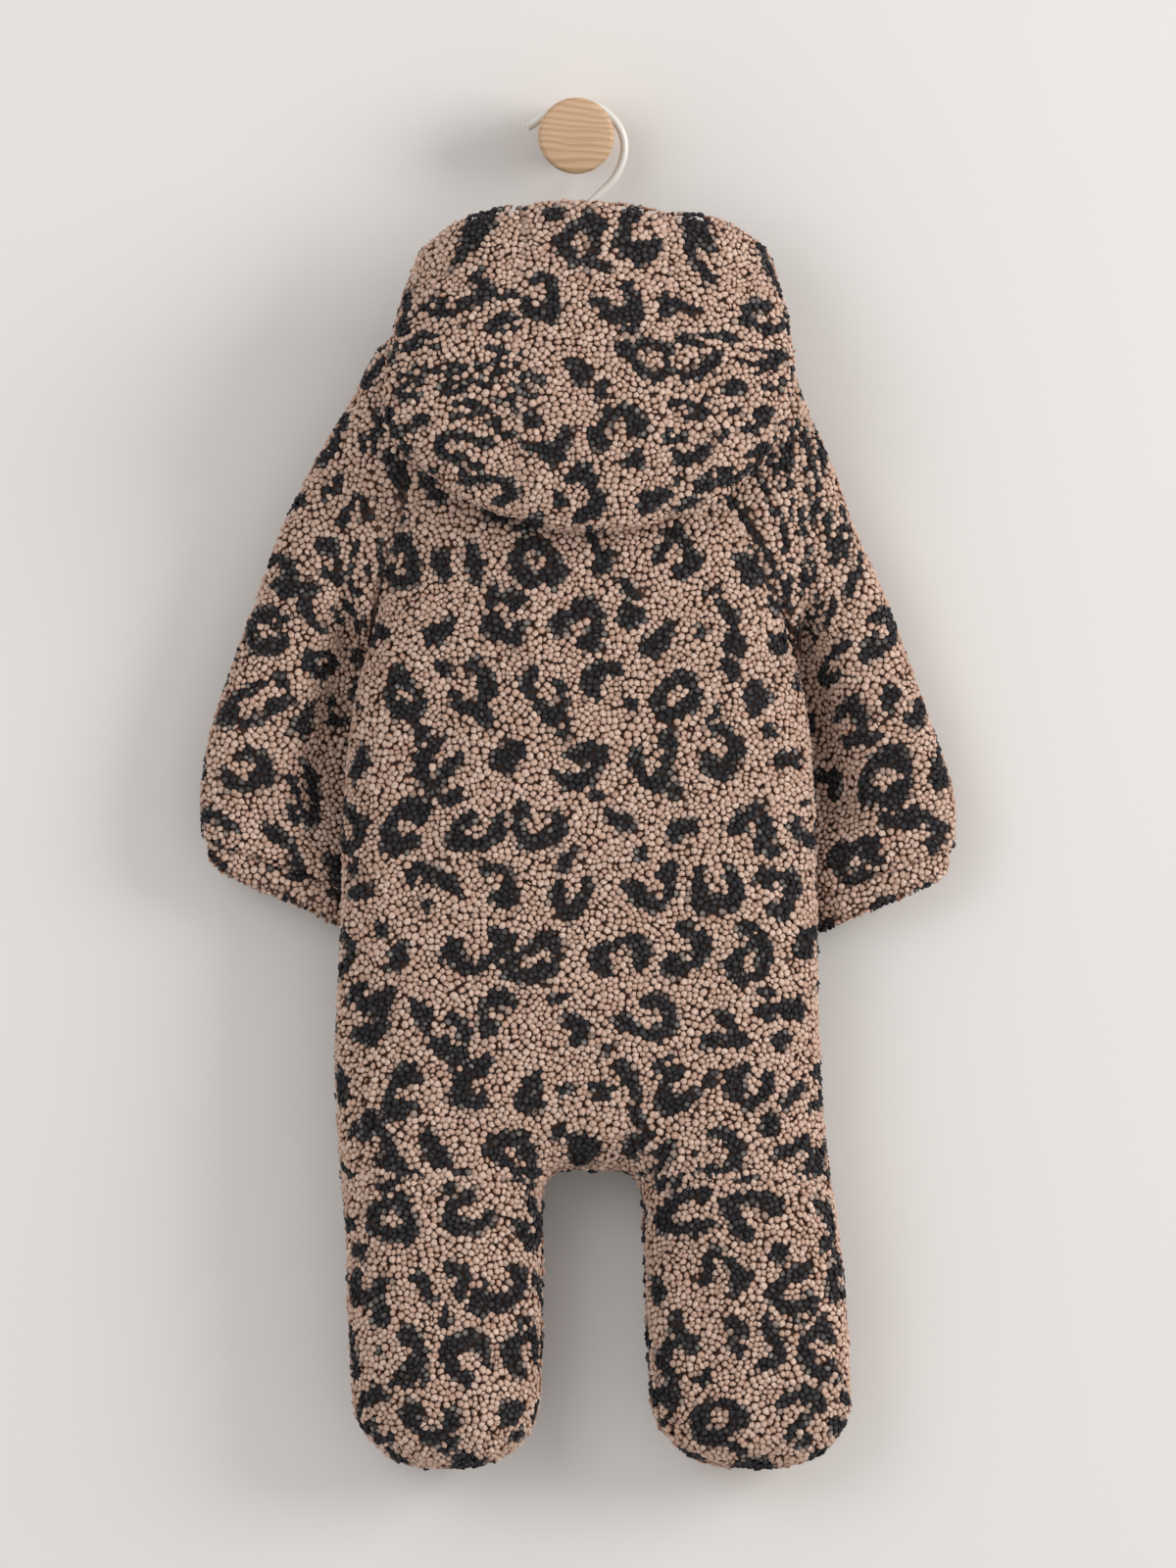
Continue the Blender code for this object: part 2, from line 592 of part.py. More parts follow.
def build_sleeve(side, collection, made):
    at = np.concatenate([[0, 0.5], np.arange(1, len(SLEEVES[side]))]).astype(float)
    outer = sleeve_surface(side, at)
    inner = outer - ring_normals(side, at) * sleeve_wall(at)
    for layer in (outer, inner):
        away = outer[1] - outer[0]
        layer[0] += unit(away) * SEAM
    return cloth_wall("sleeve_" + side, [(outer, inner, True)], collection, made)


def build_cuff(side, collection, made):
    """The cuff's rings lie inside the sleeve's end and come out below it."""
    last = len(SLEEVES[side]) - 1
    step = sleeve_surface(side, np.array([last - 0.01, last + 0.01]))
    spacing = np.linalg.norm(step[1] - step[0], axis=-1).mean() / 0.02
    past = column(CUFF, CUFF_COLUMNS, "past")
    inset = column(CUFF, CUFF_COLUMNS, "inset")[:, None, None]
    at = last + past / spacing
    rings = sleeve_surface(side, at)
    normals = ring_normals(side, at)
    outer = rings - normals * inset
    inner = rings - normals * (inset + CUFF_WALL)
    return cloth_wall("cuff_" + side, [(outer, inner, True)], collection, made)


# ---------------------------------------------------------------- hood

def neck_ring(turn):
    """The hood's neck edge at each turn in degrees: it stands on the body's and sleeves' edges."""
    corner = NECK_CORNER_TURN
    reach = np.abs(turn)
    g = np.where(reach < corner, turn / corner, np.sign(turn) * np.clip((180 - reach) / corner, 0, 1))
    left, right = RAGLAN["left"][2], RAGLAN["right"][2]
    x = (left[0] + (right[0] - left[0]) * (g + 1) / 2) * MM
    front = reach > 90
    dip = np.where(front, THROAT_DIP, NAPE_DIP) * (1 - g ** 2)
    dip = np.where((reach >= corner) & (reach <= 180 - corner), 0, dip)
    drop = left[1] * MM + dip
    depth = np.sqrt(np.clip(squared_depth(x, drop), 0, None))
    sweep = np.clip((reach - corner) / (180 - 2 * corner), 0, 1) * 2 - 1
    rise = SHOULDER_RISE * (1 - sweep ** 2)
    y = body_row("middle", drop) + depth * sweep
    return np.stack([x, y, -drop + rise + 2 * SEAM], -1)


def hood_surface(turn, at):
    """The hood's pile side. Around it goes by turn, and at runs from the neck (0) to the rim (8)."""
    turns = column(HOOD, HOOD_COLUMNS, "turn")
    spots = {}
    for spot in ("fold", "bulge", "rim"):
        values = [column(HOOD, HOOD_COLUMNS, f"{spot}_{axis}") for axis in ("x", "y", "drop")]
        x, y, drop = (smooth(turns, v, turn) for v in values)
        spots[spot] = np.stack([x, y, -drop], -1)
    neck = neck_ring(turn)
    out = np.stack([np.sin(np.radians(turn)), -np.cos(np.radians(turn)), np.zeros_like(turn)], -1)
    up = np.array([0, 0, 1.0])
    rolls = (1 - ease(40, 95, np.abs(turn)))[..., None]
    small = (1 - ease(110, 178, np.abs(turn)))[..., None]
    front = ease(90, 118, np.abs(turn))[..., None]
    low = 0.3 + 0.7 * small
    over_out = OVER_OUT + (OVER_OUT_FRONT - OVER_OUT) * front
    over_up = OVER_UP + (OVER_UP_BACK - OVER_UP) * rolls
    over = neck + (out * over_out + up * over_up) * low
    hang_out = HANG_OUT + (HANG_OUT_BACK - HANG_OUT) * rolls + (HANG_OUT_FRONT - HANG_OUT) * front
    hang_up = HANG_UP - (HANG_UP + HANG_DOWN_BACK) * rolls
    hang = neck + out * hang_out * small + up * hang_up * (0.6 + 0.4 * small)
    fold, bulge = spots["fold"], spots["bulge"]
    shoulder = np.exp(-((np.abs(turn) - SHOULDER_TURN) / SHOULDER_SPREAD) ** 2)[..., None]
    middle = (hang + fold) / 2 + (out * SHOULDER_OUT + up * SHOULDER_UP) * shoulder
    near = fold + (middle - fold) * 0.25 * (1 - rolls) - (out * FOLD_RADIUS - up * FOLD_RADIUS / 2) * rolls
    far = fold + (bulge - fold) * 0.25 * (1 - rolls) + (out + up / 2) * FOLD_RADIUS * rolls
    upper = (bulge + spots["rim"]) / 2 + out * UPPER_BULGE * rolls
    path = np.stack([neck, over, hang, middle, near, far, bulge, upper, spots["rim"]])
    return smooth(np.arange(len(path), dtype=float), path, at)


def build_hood_panel(name, turns, collection, made):
    turns = np.array(turns, float)
    tiny = 0.01
    steps = np.array(HOOD_STEPS, float)
    outer = hood_surface(turns, steps)
    around = hood_surface(turns + 0.5, steps) - hood_surface(turns - 0.5, steps)
    along = hood_surface(turns, steps + tiny) - hood_surface(turns, steps - tiny)
    normals = unit(np.cross(around, along))
    normals[0, :, 2] = 0
    inner = outer - unit(normals) * CLOTH
    sideways = unit(around) * SEAM / 2
    for layer in (outer, inner):
        layer[:, 0] += sideways[:, 0]
        layer[:, -1] -= sideways[:, -1]
    return cloth_wall(name, [(outer, inner, False)], collection, made)


# ---------------------------------------------------------------- zip

def zip_line(drops):
    """Points and normals down the middle of the front, where the zip lies."""
    return body_surface(np.full(len(drops), ZIP_X), drops, 1)


def loft(name, rings, collection, made):
    """A solid through rings of equally many points, closed at both ends."""
    block = bmesh.new()
    rows = [[block.verts.new(point) for point in ring] for ring in rings]
    for upper, lower in zip(rows, rows[1:]):
        for i in range(len(upper)):
            j = (i + 1) % len(upper)
            block.faces.new((upper[i], upper[j], lower[j], lower[i]))
    for end in (rows[0], rows[-1]):
        block.faces.new(end)
    bmesh.ops.recalc_face_normals(block, faces=block.faces)
    bmesh.ops.triangulate(block, faces=block.faces)
    mesh = bpy.data.meshes.new(name)
    block.to_mesh(mesh)
    block.free()
    return add_object(name, mesh, collection, made)


def build_zip(collection, made):
    """Tape with raised teeth, lofted down the front from a profile of (across, below surface)."""
    top = RAGLAN["left"][2][1] * MM + THROAT_DIP + TAPE_ABOVE_THROAT
    drops = np.linspace(top, ZIP_END - TAPE_ABOVE_END, 14)
    points, normals = zip_line(drops)
    below = CLOTH + 2 * SEAM
    profile = np.array([
        (-ZIP_TAPE, below), (-ZIP_TEETH, below), (-ZIP_TEETH, below - TEETH_HEIGHT),
        (ZIP_TEETH, below - TEETH_HEIGHT), (ZIP_TEETH, below), (ZIP_TAPE, below),
        (ZIP_TAPE, below + TAPE_THICKNESS), (-ZIP_TAPE, below + TAPE_THICKNESS),
    ])
    across = np.array([1.0, 0, 0])
    rings = points[:, None] + across * profile[None, :, :1] - normals[:, None] * profile[None, :, 1:]
    return loft("zip_tape", rings, collection, made)


def build_slider(collection, made):
    """The slider is a channel with two ears, between which the pull's barrel turns."""
    half = ZIP_GAP - SEAM
    ear = half - SLIDER_EAR
    low, floor, high = PULL_Y - SLIDER_THICKNESS, PULL_Y - PULL_BARREL - SEAM, PULL_Y + PULL_BARREL
    outline = [(-half, low), (half, low), (half, high), (ear, high), (ear, floor),
               (-ear, floor), (-ear, high), (-half, high)]
    rings = [[(ZIP_X + x, y, -drop) for x, y in outline]
             for drop in (PULL_DROP - SLIDER_ABOVE, PULL_DROP + SLIDER_BELOW)]
    return loft("zip_slider", rings, collection, made)


def build_pull(collection, made):
    """The pull: a barrel on the hinge's axis and a flat tab that hangs from it."""
    start = math.atan2(-math.sqrt(PULL_BARREL ** 2 - PULL_FRONT ** 2), PULL_FRONT)
    end = math.atan2(-math.sqrt(PULL_BARREL ** 2 - PULL_BACK ** 2), PULL_BACK) + math.tau
    barrel = [(PULL_BARREL * math.cos(a), PULL_BARREL * math.sin(a)) for a in np.linspace(start, end, 13)]
    tip = [(PULL_BACK, PULL_TIP - PULL_LENGTH), (PULL_BACK + PULL_TIP_SIDE, -PULL_LENGTH),
           (PULL_FRONT - PULL_TIP_SIDE, -PULL_LENGTH), (PULL_FRONT, PULL_TIP - PULL_LENGTH)]
    half = ZIP_GAP - 2 * SEAM - SLIDER_EAR
    rings = [[(x, y, z) for y, z in barrel + tip] for x in (-half, half)]
    pull = loft("zip_pull", rings, collection, made)
    pull.location = (ZIP_X, PULL_Y, -PULL_DROP)
    return pull


# ---------------------------------------------------------------- hanger and peg

def tube(name, points, radius, collection, made, sides=2):
    """A wire through the points, with closed ends."""
    curve = bpy.data.curves.new(name, "CURVE")
    curve.dimensions = "3D"
    curve.bevel_depth = radius
    curve.bevel_resolution = sides
    curve.use_fill_caps = True
    line = curve.splines.new("POLY")
    line.points.add(len(points) - 1)
    line.points.foreach_set("co", np.column_stack([points, np.ones(len(points))]).ravel())
    wire = bpy.data.objects.new(name, curve)
    collection.objects.link(wire)
    weld = wire.modifiers.new("Caps", "WELD")
    weld.merge_threshold = 0.00005
    curve.materials.append(made)
    return wire


def build_hook(collection, made):
    spots = np.column_stack([column(HOOK, HOOK_COLUMNS, n) for n in HOOK_COLUMNS]) * (1, 1, -1)
    path = smooth(np.arange(len(spots), dtype=float), spots, np.linspace(0, len(spots) - 1, 41))
    return tube("hanger_hook", path, WIRE, collection, made)


def build_arms(collection, made):
    x = np.linspace(*ARM_ENDS, 17)
    middle_x, y, drop = ARM_MIDDLE
    ends = np.where(x < middle_x, ARM_ENDS[0] - middle_x, ARM_ENDS[1] - middle_x)
    share = np.abs((x - middle_x) / ends)
    slope = drop + (ARM_END_DROP - drop) * share ** 1.6
    path = np.column_stack([x, np.full_like(x, y), -slope]) * MM
    return tube("hanger_arms", path, ARM_RADIUS, collection, made)


def build_peg(collection, made):
    """A turned peg: shaft from the wall, then a wider knob with rounded edges."""
    front = SHAFT_LENGTH + KNOB_LENGTH
    edge = [
        (KNOB_RADIUS - KNOB_EDGE * (1 - math.sin(a)), front - KNOB_EDGE * (1 - math.cos(a)))
        for a in np.radians([0, 30, 60, 90])
    ]
    profile = [(0, front), *edge, (KNOB_RADIUS, SHAFT_LENGTH + 1 * MM),
               (KNOB_RADIUS - 1 * MM, SHAFT_LENGTH), (SHAFT_RADIUS, SHAFT_LENGTH), (SHAFT_RADIUS, 0), (0, 0)]
    turned = bmesh.new()
    line = [turned.verts.new((r, 0, z)) for r, z in profile]
    edges = [turned.edges.new(pair) for pair in zip(line, line[1:])]
    bmesh.ops.spin(turned, geom=line + edges, cent=(0, 0, 0), axis=(0, 0, 1), angle=math.tau, steps=40)
    bmesh.ops.remove_doubles(turned, verts=turned.verts, dist=0.01 * MM)
    bmesh.ops.recalc_face_normals(turned, faces=turned.faces)
    mesh = bpy.data.meshes.new("peg")
    turned.to_mesh(mesh)
    turned.free()
    peg = add_object("peg", mesh, collection, made)
    peg.rotation_euler = (math.pi / 2, 0, 0)
    return peg


# ---------------------------------------------------------------- the whole

for old in list(bpy.data.objects):
    bpy.data.objects.remove(old)
outfit = bpy.data.collections.new("hooded_all_in_one")
bpy.context.scene.collection.children.link(outfit)

body_fleece = material("body_fleece", (0.62, 0.42, 0.31), 0.95)
sleeve_fleece = material("sleeve_fleece", (0.60, 0.40, 0.30), 0.95)
cuff_fleece = material("cuff_fleece", (0.58, 0.38, 0.28), 0.95)
hood_fleece = material("hood_fleece", (0.64, 0.44, 0.33), 0.95)
white_coat = material("white_coat", (0.85, 0.84, 0.79), 0.3)
ash_wood = material("ash_wood", (0.62, 0.42, 0.25), 0.6)
zip_cloth = material("zip_cloth", (0.20, 0.17, 0.16), 0.8)
zip_metal = material("zip_metal", (0.55, 0.53, 0.50), 0.35, 1.0)

build_back(outfit, body_fleece)
build_front("left", outfit, body_fleece.copy())
build_front("right", outfit, body_fleece.copy())
for arm in ("left", "right"):
    build_sleeve(arm, outfit, sleeve_fleece.copy())
    build_cuff(arm, outfit, cuff_fleece.copy())
build_hood_panel("hood_left", [-turn for turn in HOOD_SIDE_TURNS], outfit, hood_fleece)
build_hood_panel("hood_centre", HOOD_CENTRE_TURNS, outfit, hood_fleece.copy())
build_hood_panel("hood_right", HOOD_SIDE_TURNS[::-1], outfit, hood_fleece.copy())
build_zip(outfit, zip_cloth)
build_slider(outfit, zip_metal)
build_pull(outfit, zip_metal.copy())
build_hook(outfit, white_coat)
build_arms(outfit, white_coat.copy())
build_peg(outfit, ash_wood)
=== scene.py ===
import itertools
import math

import bmesh
import bpy
import numpy as np
from mathutils import Matrix, Vector
from mathutils.kdtree import KDTree


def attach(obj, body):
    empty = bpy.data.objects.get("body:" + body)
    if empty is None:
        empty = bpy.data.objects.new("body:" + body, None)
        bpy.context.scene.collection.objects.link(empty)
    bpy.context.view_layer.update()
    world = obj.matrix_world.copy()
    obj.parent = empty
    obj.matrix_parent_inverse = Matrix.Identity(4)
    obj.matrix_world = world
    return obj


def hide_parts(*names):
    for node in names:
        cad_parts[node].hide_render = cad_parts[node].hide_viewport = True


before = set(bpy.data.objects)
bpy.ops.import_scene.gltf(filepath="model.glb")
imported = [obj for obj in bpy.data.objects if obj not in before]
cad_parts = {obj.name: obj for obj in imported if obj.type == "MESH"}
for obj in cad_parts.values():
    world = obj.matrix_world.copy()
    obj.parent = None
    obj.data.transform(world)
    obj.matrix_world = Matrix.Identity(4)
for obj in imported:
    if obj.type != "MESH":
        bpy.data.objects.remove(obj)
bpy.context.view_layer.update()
MM = 0.001

# ---------------------------------------------------------------- peg
# A round peg turned from pale ash: a shaft that stands out from the wall and a wider knob with softened
# edges. It is oiled, its grain runs across, and a hidden screw holds it to the wall.

PEG_COLUMNS = ("radius", "out")
PEG = ((0, 45), (9, 45), (17, 45), (18.4, 44.6), (19.2, 43.8), (19.5, 42.7), (19.5, 31.6), (19.2, 30.6),
       (18.5, 30), (14.6, 30), (14.1, 29.5), (14, 28.8), (14, 0), (0, 0))
PEG_SIDES = 96
ASH_PALE, ASH_LINE, ASH_PORE = (0.66, 0.44, 0.27), (0.50, 0.30, 0.165), (0.40, 0.23, 0.12)
GRAIN_LINES = 1750  # radians of the growth lines' wave for each metre of height
GRAIN_BEND = 0.02  # metres that the slow noise moves a line by
GRAIN_RELIEF = 0.12 * MM


def column(table, names, name):
    """One column of a table, in metres unless it holds degrees or shares."""
    values = np.array([row[names.index(name)] for row in table], float)
    return values if name in ("turn", "free") else values * MM


def fill_mesh(name, points, faces, finish, **marks):
    """An object from an array of points and an array of faces, with a number at each point for each mark."""
    mesh = bpy.data.meshes.new(name)
    corners = faces.shape[1]
    mesh.vertices.add(len(points))
    mesh.vertices.foreach_set("co", np.ascontiguousarray(points, np.float32).ravel())
    mesh.loops.add(faces.size)
    mesh.loops.foreach_set("vertex_index", np.ascontiguousarray(faces, np.int32).ravel())
    mesh.polygons.add(len(faces))
    mesh.polygons.foreach_set("loop_start", np.arange(0, faces.size, corners, dtype=np.int32))
    mesh.update(calc_edges=True)
    for mark, values in marks.items():
        layer = mesh.attributes.new(mark, "FLOAT", "POINT")
        layer.data.foreach_set("value", np.ascontiguousarray(values, np.float32).ravel())
    mesh.shade_smooth()
    mesh.materials.append(finish)
    thing = bpy.data.objects.new(name, mesh)
    bpy.context.scene.collection.objects.link(thing)
    return thing


def grid_quads(rows, cols, closed=False):
    """Faces of a grid of points, counted along its rows; a closed grid's last column meets its first."""
    row, col = np.meshgrid(np.arange(rows - 1), np.arange(cols if closed else cols - 1), indexing="ij")
    right = (col + 1) % cols
    quads = [row * cols + col, row * cols + right, (row + 1) * cols + right, (row + 1) * cols + col]
    return np.stack(quads, -1).reshape(-1, 4)


class Value:
    """A socket that takes part in sums like a number."""

    def __init__(self, finish, socket):
        self.finish, self.socket = finish, socket

    def sum(self, operation, *values):
        made = self.finish.node("ShaderNodeMath", {"operation": operation}, values)
        return Value(self.finish, made.outputs[0])

    def __add__(self, other):
        return self.sum("ADD", self, other)

    def __sub__(self, other):
        return self.sum("SUBTRACT", self, other)

    def __rsub__(self, other):
        return self.sum("SUBTRACT", other, self)

    def __mul__(self, other):
        return self.sum("MULTIPLY", self, other)

    __radd__, __rmul__ = __add__, __mul__

    def sine(self):
        return self.sum("SINE", self)

    def fraction(self):
        """What is left beyond the whole number."""
        return self.sum("FRACT", self)

    def magnitude(self):
        return self.sum("ABSOLUTE", self)

    def between(self, low, high):
        """0 below low, 1 above high."""
        ramp = {"interpolation_type": "SMOOTHSTEP"}
        made = self.finish.node("ShaderNodeMapRange", ramp, {0: self, 1: low, 2: high})
        return Value(self.finish, made.outputs[0])


class Finish:
    """A material on one Principled shader."""

    def __init__(self, name, **constants):
        self.made = bpy.data.materials.new(name)
        self.made.use_nodes = True
        self.tree = self.made.node_tree
        self.shader = self.tree.nodes["Principled BSDF"]
        for socket, value in constants.items():
            self.shader.inputs[socket.replace("_", " ")].default_value = value

    def node(self, kind, settings, sockets):
        """A node of any kind: its settings first, then its sockets' values or links."""
        made = self.tree.nodes.new(kind)
        for setting, value in settings.items():
            setattr(made, setting, value)
        pairs = sockets.items() if isinstance(sockets, dict) else enumerate(sockets)
        for key, value in pairs:
            if isinstance(value, Value):
                self.tree.links.new(value.socket, made.inputs[key])
            elif isinstance(value, bpy.types.NodeSocket):
                self.tree.links.new(value, made.inputs[key])
            else:
                made.inputs[key].default_value = value
        return made

    def mark(self, name):
        """A number that the mesh keeps at each point."""
        return Value(self, self.node("ShaderNodeAttribute", {"attribute_name": name}, {}).outputs["Fac"])

    def place(self, scale=(1, 1, 1)):
        """Object coordinates, scaled along each axis."""
        where = self.node("ShaderNodeTexCoord", {}, {}).outputs["Object"]
        return self.node("ShaderNodeMapping", {}, {"Vector": where, "Scale": scale}).outputs[0]

    def noise(self, scale, where=None, detail=2.0, warp=0.0):
        """A cloudy pattern from 0 to 1, finer the larger its scale is, in cells for each metre."""
        sockets = {"Scale": scale, "Detail": detail, "Distortion": warp}
        sockets["Vector"] = self.place() if where is None else where
        return Value(self, self.node("ShaderNodeTexNoise", {}, sockets).outputs["Fac"])

    def mix(self, share, first, second):
        """A colour between two, each a socket or three numbers."""
        ends = [(*c, 1) if isinstance(c, tuple) else c for c in (first, second)]
        made = self.node("ShaderNodeMix", {"data_type": "RGBA"}, {0: share, 6: ends[0], 7: ends[1]})
        return made.outputs[2]

    def feed(self, socket, value):
        """Joins a value or a colour to one of the shader's sockets."""
        self.tree.links.new(value.socket if isinstance(value, Value) else value, self.shader.inputs[socket])

    def bump(self, height, depth):
        """Relief of the given depth in metres."""
        made = self.node("ShaderNodeBump", {}, {"Height": height, "Distance": depth})
        self.feed("Normal", made.outputs[0])


ash = Finish("oiled_ash", Roughness=0.5)
# wavy lines run across the face: a sine of the height, bent by a slow noise and shaken by a quicker one
bend = ash.noise(28, ash.place((0.45, 1, 1)), 2) * GRAIN_BEND
across = ash.node("ShaderNodeSeparateXYZ", {}, {0: ash.place()})
height = Value(ash, across.outputs[2]) + bend
lines = (height * GRAIN_LINES + ash.noise(60, ash.place((0.3, 1, 1))) * 5).sine()
fine = ash.noise(900, ash.place((0.05, 1, 1)), 3)
wood = ash.mix(lines.between(-0.2, 1.0) * 0.75, ASH_PALE, ASH_LINE)
wood = ash.mix(fine.between(0.45, 0.75) * 0.35, wood, ASH_PORE)
ash.feed("Base Color", wood)
ash.feed("Roughness", 0.42 + fine * 0.2)
ash.bump(lines * 0.5 + fine, GRAIN_RELIEF)


def turned(name, profile, sides, finish):
    """A profile of (radius, distance out from the wall) carried round the Y axis."""
    radius, out = column(profile, PEG_COLUMNS, "radius"), column(profile, PEG_COLUMNS, "out")
    turn = np.linspace(0, math.tau, sides, endpoint=False)
    rings = slice(1, -1)
    x, z = radius[rings, None] * np.cos(turn), radius[rings, None] * np.sin(turn)
    y = np.broadcast_to(-out[rings, None], x.shape)
    points = np.vstack([np.stack([x, y, z], -1).reshape(-1, 3), [(0, -out[0], 0), (0, -out[-1], 0)]])
    count = len(radius) - 2
    quads = grid_quads(count, sides, True)
    first = np.arange(sides)
    after = np.roll(first, -1)
    last = (count - 1) * sides
    front = np.stack([np.full(sides, count * sides), after, first], -1)
    back = np.stack([np.full(sides, count * sides + 1), last + first, last + after], -1)
    halves = np.vstack([quads[:, [0, 1, 2]], quads[:, [0, 2, 3]]])
    return fill_mesh(name, points, np.vstack([halves, front, back])[:, ::-1], finish)


peg = turned("turned_peg", PEG, PEG_SIDES, ash.made)
peg.data.set_sharp_from_angle(angle=math.radians(40))
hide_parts("peg")
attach(peg, "garment")

# ---------------------------------------------------------------- hanger
# A bent wire in a thick white plastic coat, glossy. Its hook's end is cut off square, so the coat's end
# shows as a small dark ring. The arms lie inside the shoulders.

HOOK_COLUMNS = ("x", "y", "drop")
HOOK = ((-25.5, -25.5, -4.2), (-22.5, -23.8, -5.6), (-18.5, -22.6, -8.7), (-12, -22, -13.0),
        (-4, -22, -16.1), (4, -22, -16.6), (11.5, -22, -14.2), (18, -22, -9.5), (22.8, -22, -2.5),
        (24.6, -22, 5.5), (23, -22.4, 14.5), (18.8, -23.2, 22.5), (12, -24.4, 29.5), (5, -26, 36.5),
        (2.5, -28, 43), (2, -31, 55), (2, -37.2, 99.2))
HOOK_STEPS = 150
WIRE = 2.1 * MM  # radius with its coat
COAT_HOLE = 1.2 * MM  # radius of the hole in the coat's end
COAT_END = 0.85  # how far the coat's cut end is rounded in, as a share of its radius
WIRE_SIDES = 20
POINT = 0.02 * MM  # radius of a ring that closes a tube's end
COAT_SHADE, COAT_LIGHT = (0.80, 0.79, 0.73), (0.86, 0.85, 0.80)


def smooth(keys, values, at):
    """Cubic Hermite curve through a table's rows, straight past both ends."""
    at = np.asarray(at, float)
    slopes = np.gradient(values, keys, axis=0)
    i = np.clip(np.searchsorted(keys, at) - 1, 0, len(keys) - 2)
    wide = (*at.shape, *[1] * (values.ndim - 1))
    step = (keys[i + 1] - keys[i]).reshape(wide)
    t = (at - keys[i]).reshape(wide) / step
    inside = np.clip(t, 0, 1)
    past = (t - inside) * step
    squared, cubed = inside ** 2, inside ** 3
    curve = (
        (2 * cubed - 3 * squared + 1) * values[i]
        + (cubed - 2 * squared + inside) * step * slopes[i]
        + (3 * squared - 2 * cubed) * values[i + 1]
        + (cubed - squared) * step * slopes[i + 1]
    )
    return curve + past * np.where(past < 0, slopes[i], slopes[i + 1])


def unit(vectors):
    """Vectors divided by their own lengths."""
    return vectors / np.maximum(np.linalg.norm(vectors, axis=-1, keepdims=True), 1e-12)


def round_spokes(path, sides):
    """Unit spokes square to a path at its points, carried along it without twisting."""
    along = unit(np.gradient(path, axis=0))
    side = np.empty_like(path)
    side[0] = unit(np.cross(along[0], (0.0, 1.0, 0.0)))
    for k in range(1, len(path)):
        side[k] = unit(side[k - 1] - along[k] * (side[k - 1] @ along[k]))
    other = np.cross(along, side)
    turn = np.linspace(0, math.tau, sides, endpoint=False)[None, :, None]
    return side[:, None] * np.cos(turn) + other[:, None] * np.sin(turn)


white_coat = Finish("white_coat", Roughness=0.28, Coat_Weight=0.4, Coat_Roughness=0.15)
tone = white_coat.noise(60)
white_coat.feed("Base Color", white_coat.mix(tone, COAT_SHADE, COAT_LIGHT))
white_coat.feed("Roughness", 0.22 + tone * 0.14)
white_coat.bump(white_coat.noise(400), 0.04 * MM)


def wire_tube(name, path, radius, hole, finish, sides=WIRE_SIDES):
    """A round wire along a path, as rings square to it. Its first end is an open tube: the rings start at
    a point inside the hole, come out along its wall and turn over the coat's edge. Its last end is closed."""
    spokes = round_spokes(path, sides)
    start = path[0] + (path[1] - path[0]) * np.array([[2.0], [2.0], [0.0], [0.0], [0.2]])
    start_radii = [POINT, hole, hole, radius * COAT_END, radius]
    centres = np.vstack([start, path[1:], path[-1:]])
    radii = np.concatenate([start_radii, np.full(len(path) - 1, radius), [POINT]])
    spokes = np.concatenate([np.repeat(spokes[:1], len(start), 0), spokes[1:], spokes[-1:]])
    rings = centres[:, None] + spokes * radii[:, None, None]
    return fill_mesh(name, rings.reshape(-1, 3), grid_quads(len(rings), sides, True), finish)


def by_row(table, names, name, at):
    """One column of a table, read between its rows."""
    return smooth(np.arange(len(table), dtype=float), column(table, names, name), at)


at = np.linspace(0, len(HOOK) - 1, HOOK_STEPS)
path = np.column_stack([by_row(HOOK, HOOK_COLUMNS, n, at) for n in HOOK_COLUMNS]) * (1, 1, -1)
hook = wire_tube("coated_hook", path, WIRE, COAT_HOLE, white_coat.made)
hook.data.set_sharp_from_angle(angle=math.radians(50))
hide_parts("hanger_hook")
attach(hook, "garment")
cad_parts["hanger_arms"].material_slots[0].material = white_coat.made

# ---------------------------------------------------------------- back panel
# The back of the body and both legs, cut in one piece from curled fleece: a knitted backing with a pile of
# curled loops, printed with dark rosettes. It is sewn to the fronts, the raglan sleeves and the hood.

CLOTH = 5.5 * MM  # knitted backing and curled pile
BACKING = 2.8 * MM  # from the pile's surface to the knitted backing
SEAM = 0.3 * MM  # between two pieces that are sewn together
ROUNDNESS = 2.5  # exponent of the body's cross-sections

# The body, a row for each level below the peg: its edges, middle plane and half depth
BODY_COLUMNS = ("drop", "left", "right", "middle", "depth")
BODY = (
    (90, -52, 64, -40, 21),
    (115, -78, 90, -40, 26),
    (150, -97, 104, -40, 29),
    (200, -100, 105, -40, 31),
    (246, -102, 106, -40, 32),
    (290, -113.5, 117, -40, 33),
    (331, -118, 121, -40, 33),
    (415, -120.5, 123, -40, 33),
    (470, -123, 124.5, -40, 33),
    (514, -121, 127, -40, 32),
    (560, -117.5, 134, -39, 30),
    (620, -115.5, 139, -38, 29),
    (650, -113.5, 140, -37, 29),
    (700, -111, 141, -37, 29),
)
# The gap between the legs, a row for each level
GAP_COLUMNS = ("drop", "left", "right")
GAP = ((527, -18, 34), (620, -18.5, 37), (700, -22, 43))
CROTCH = 527 * MM
CROTCH_CORNER = 13 * MM  # radius of the gap's two top corners
LEG_START = 440 * MM  # from here down the section turns from one body to two legs
FOOT_TOP = 645 * MM
FOOT_LENGTH = 34 * MM
ZIP_X = 6 * MM
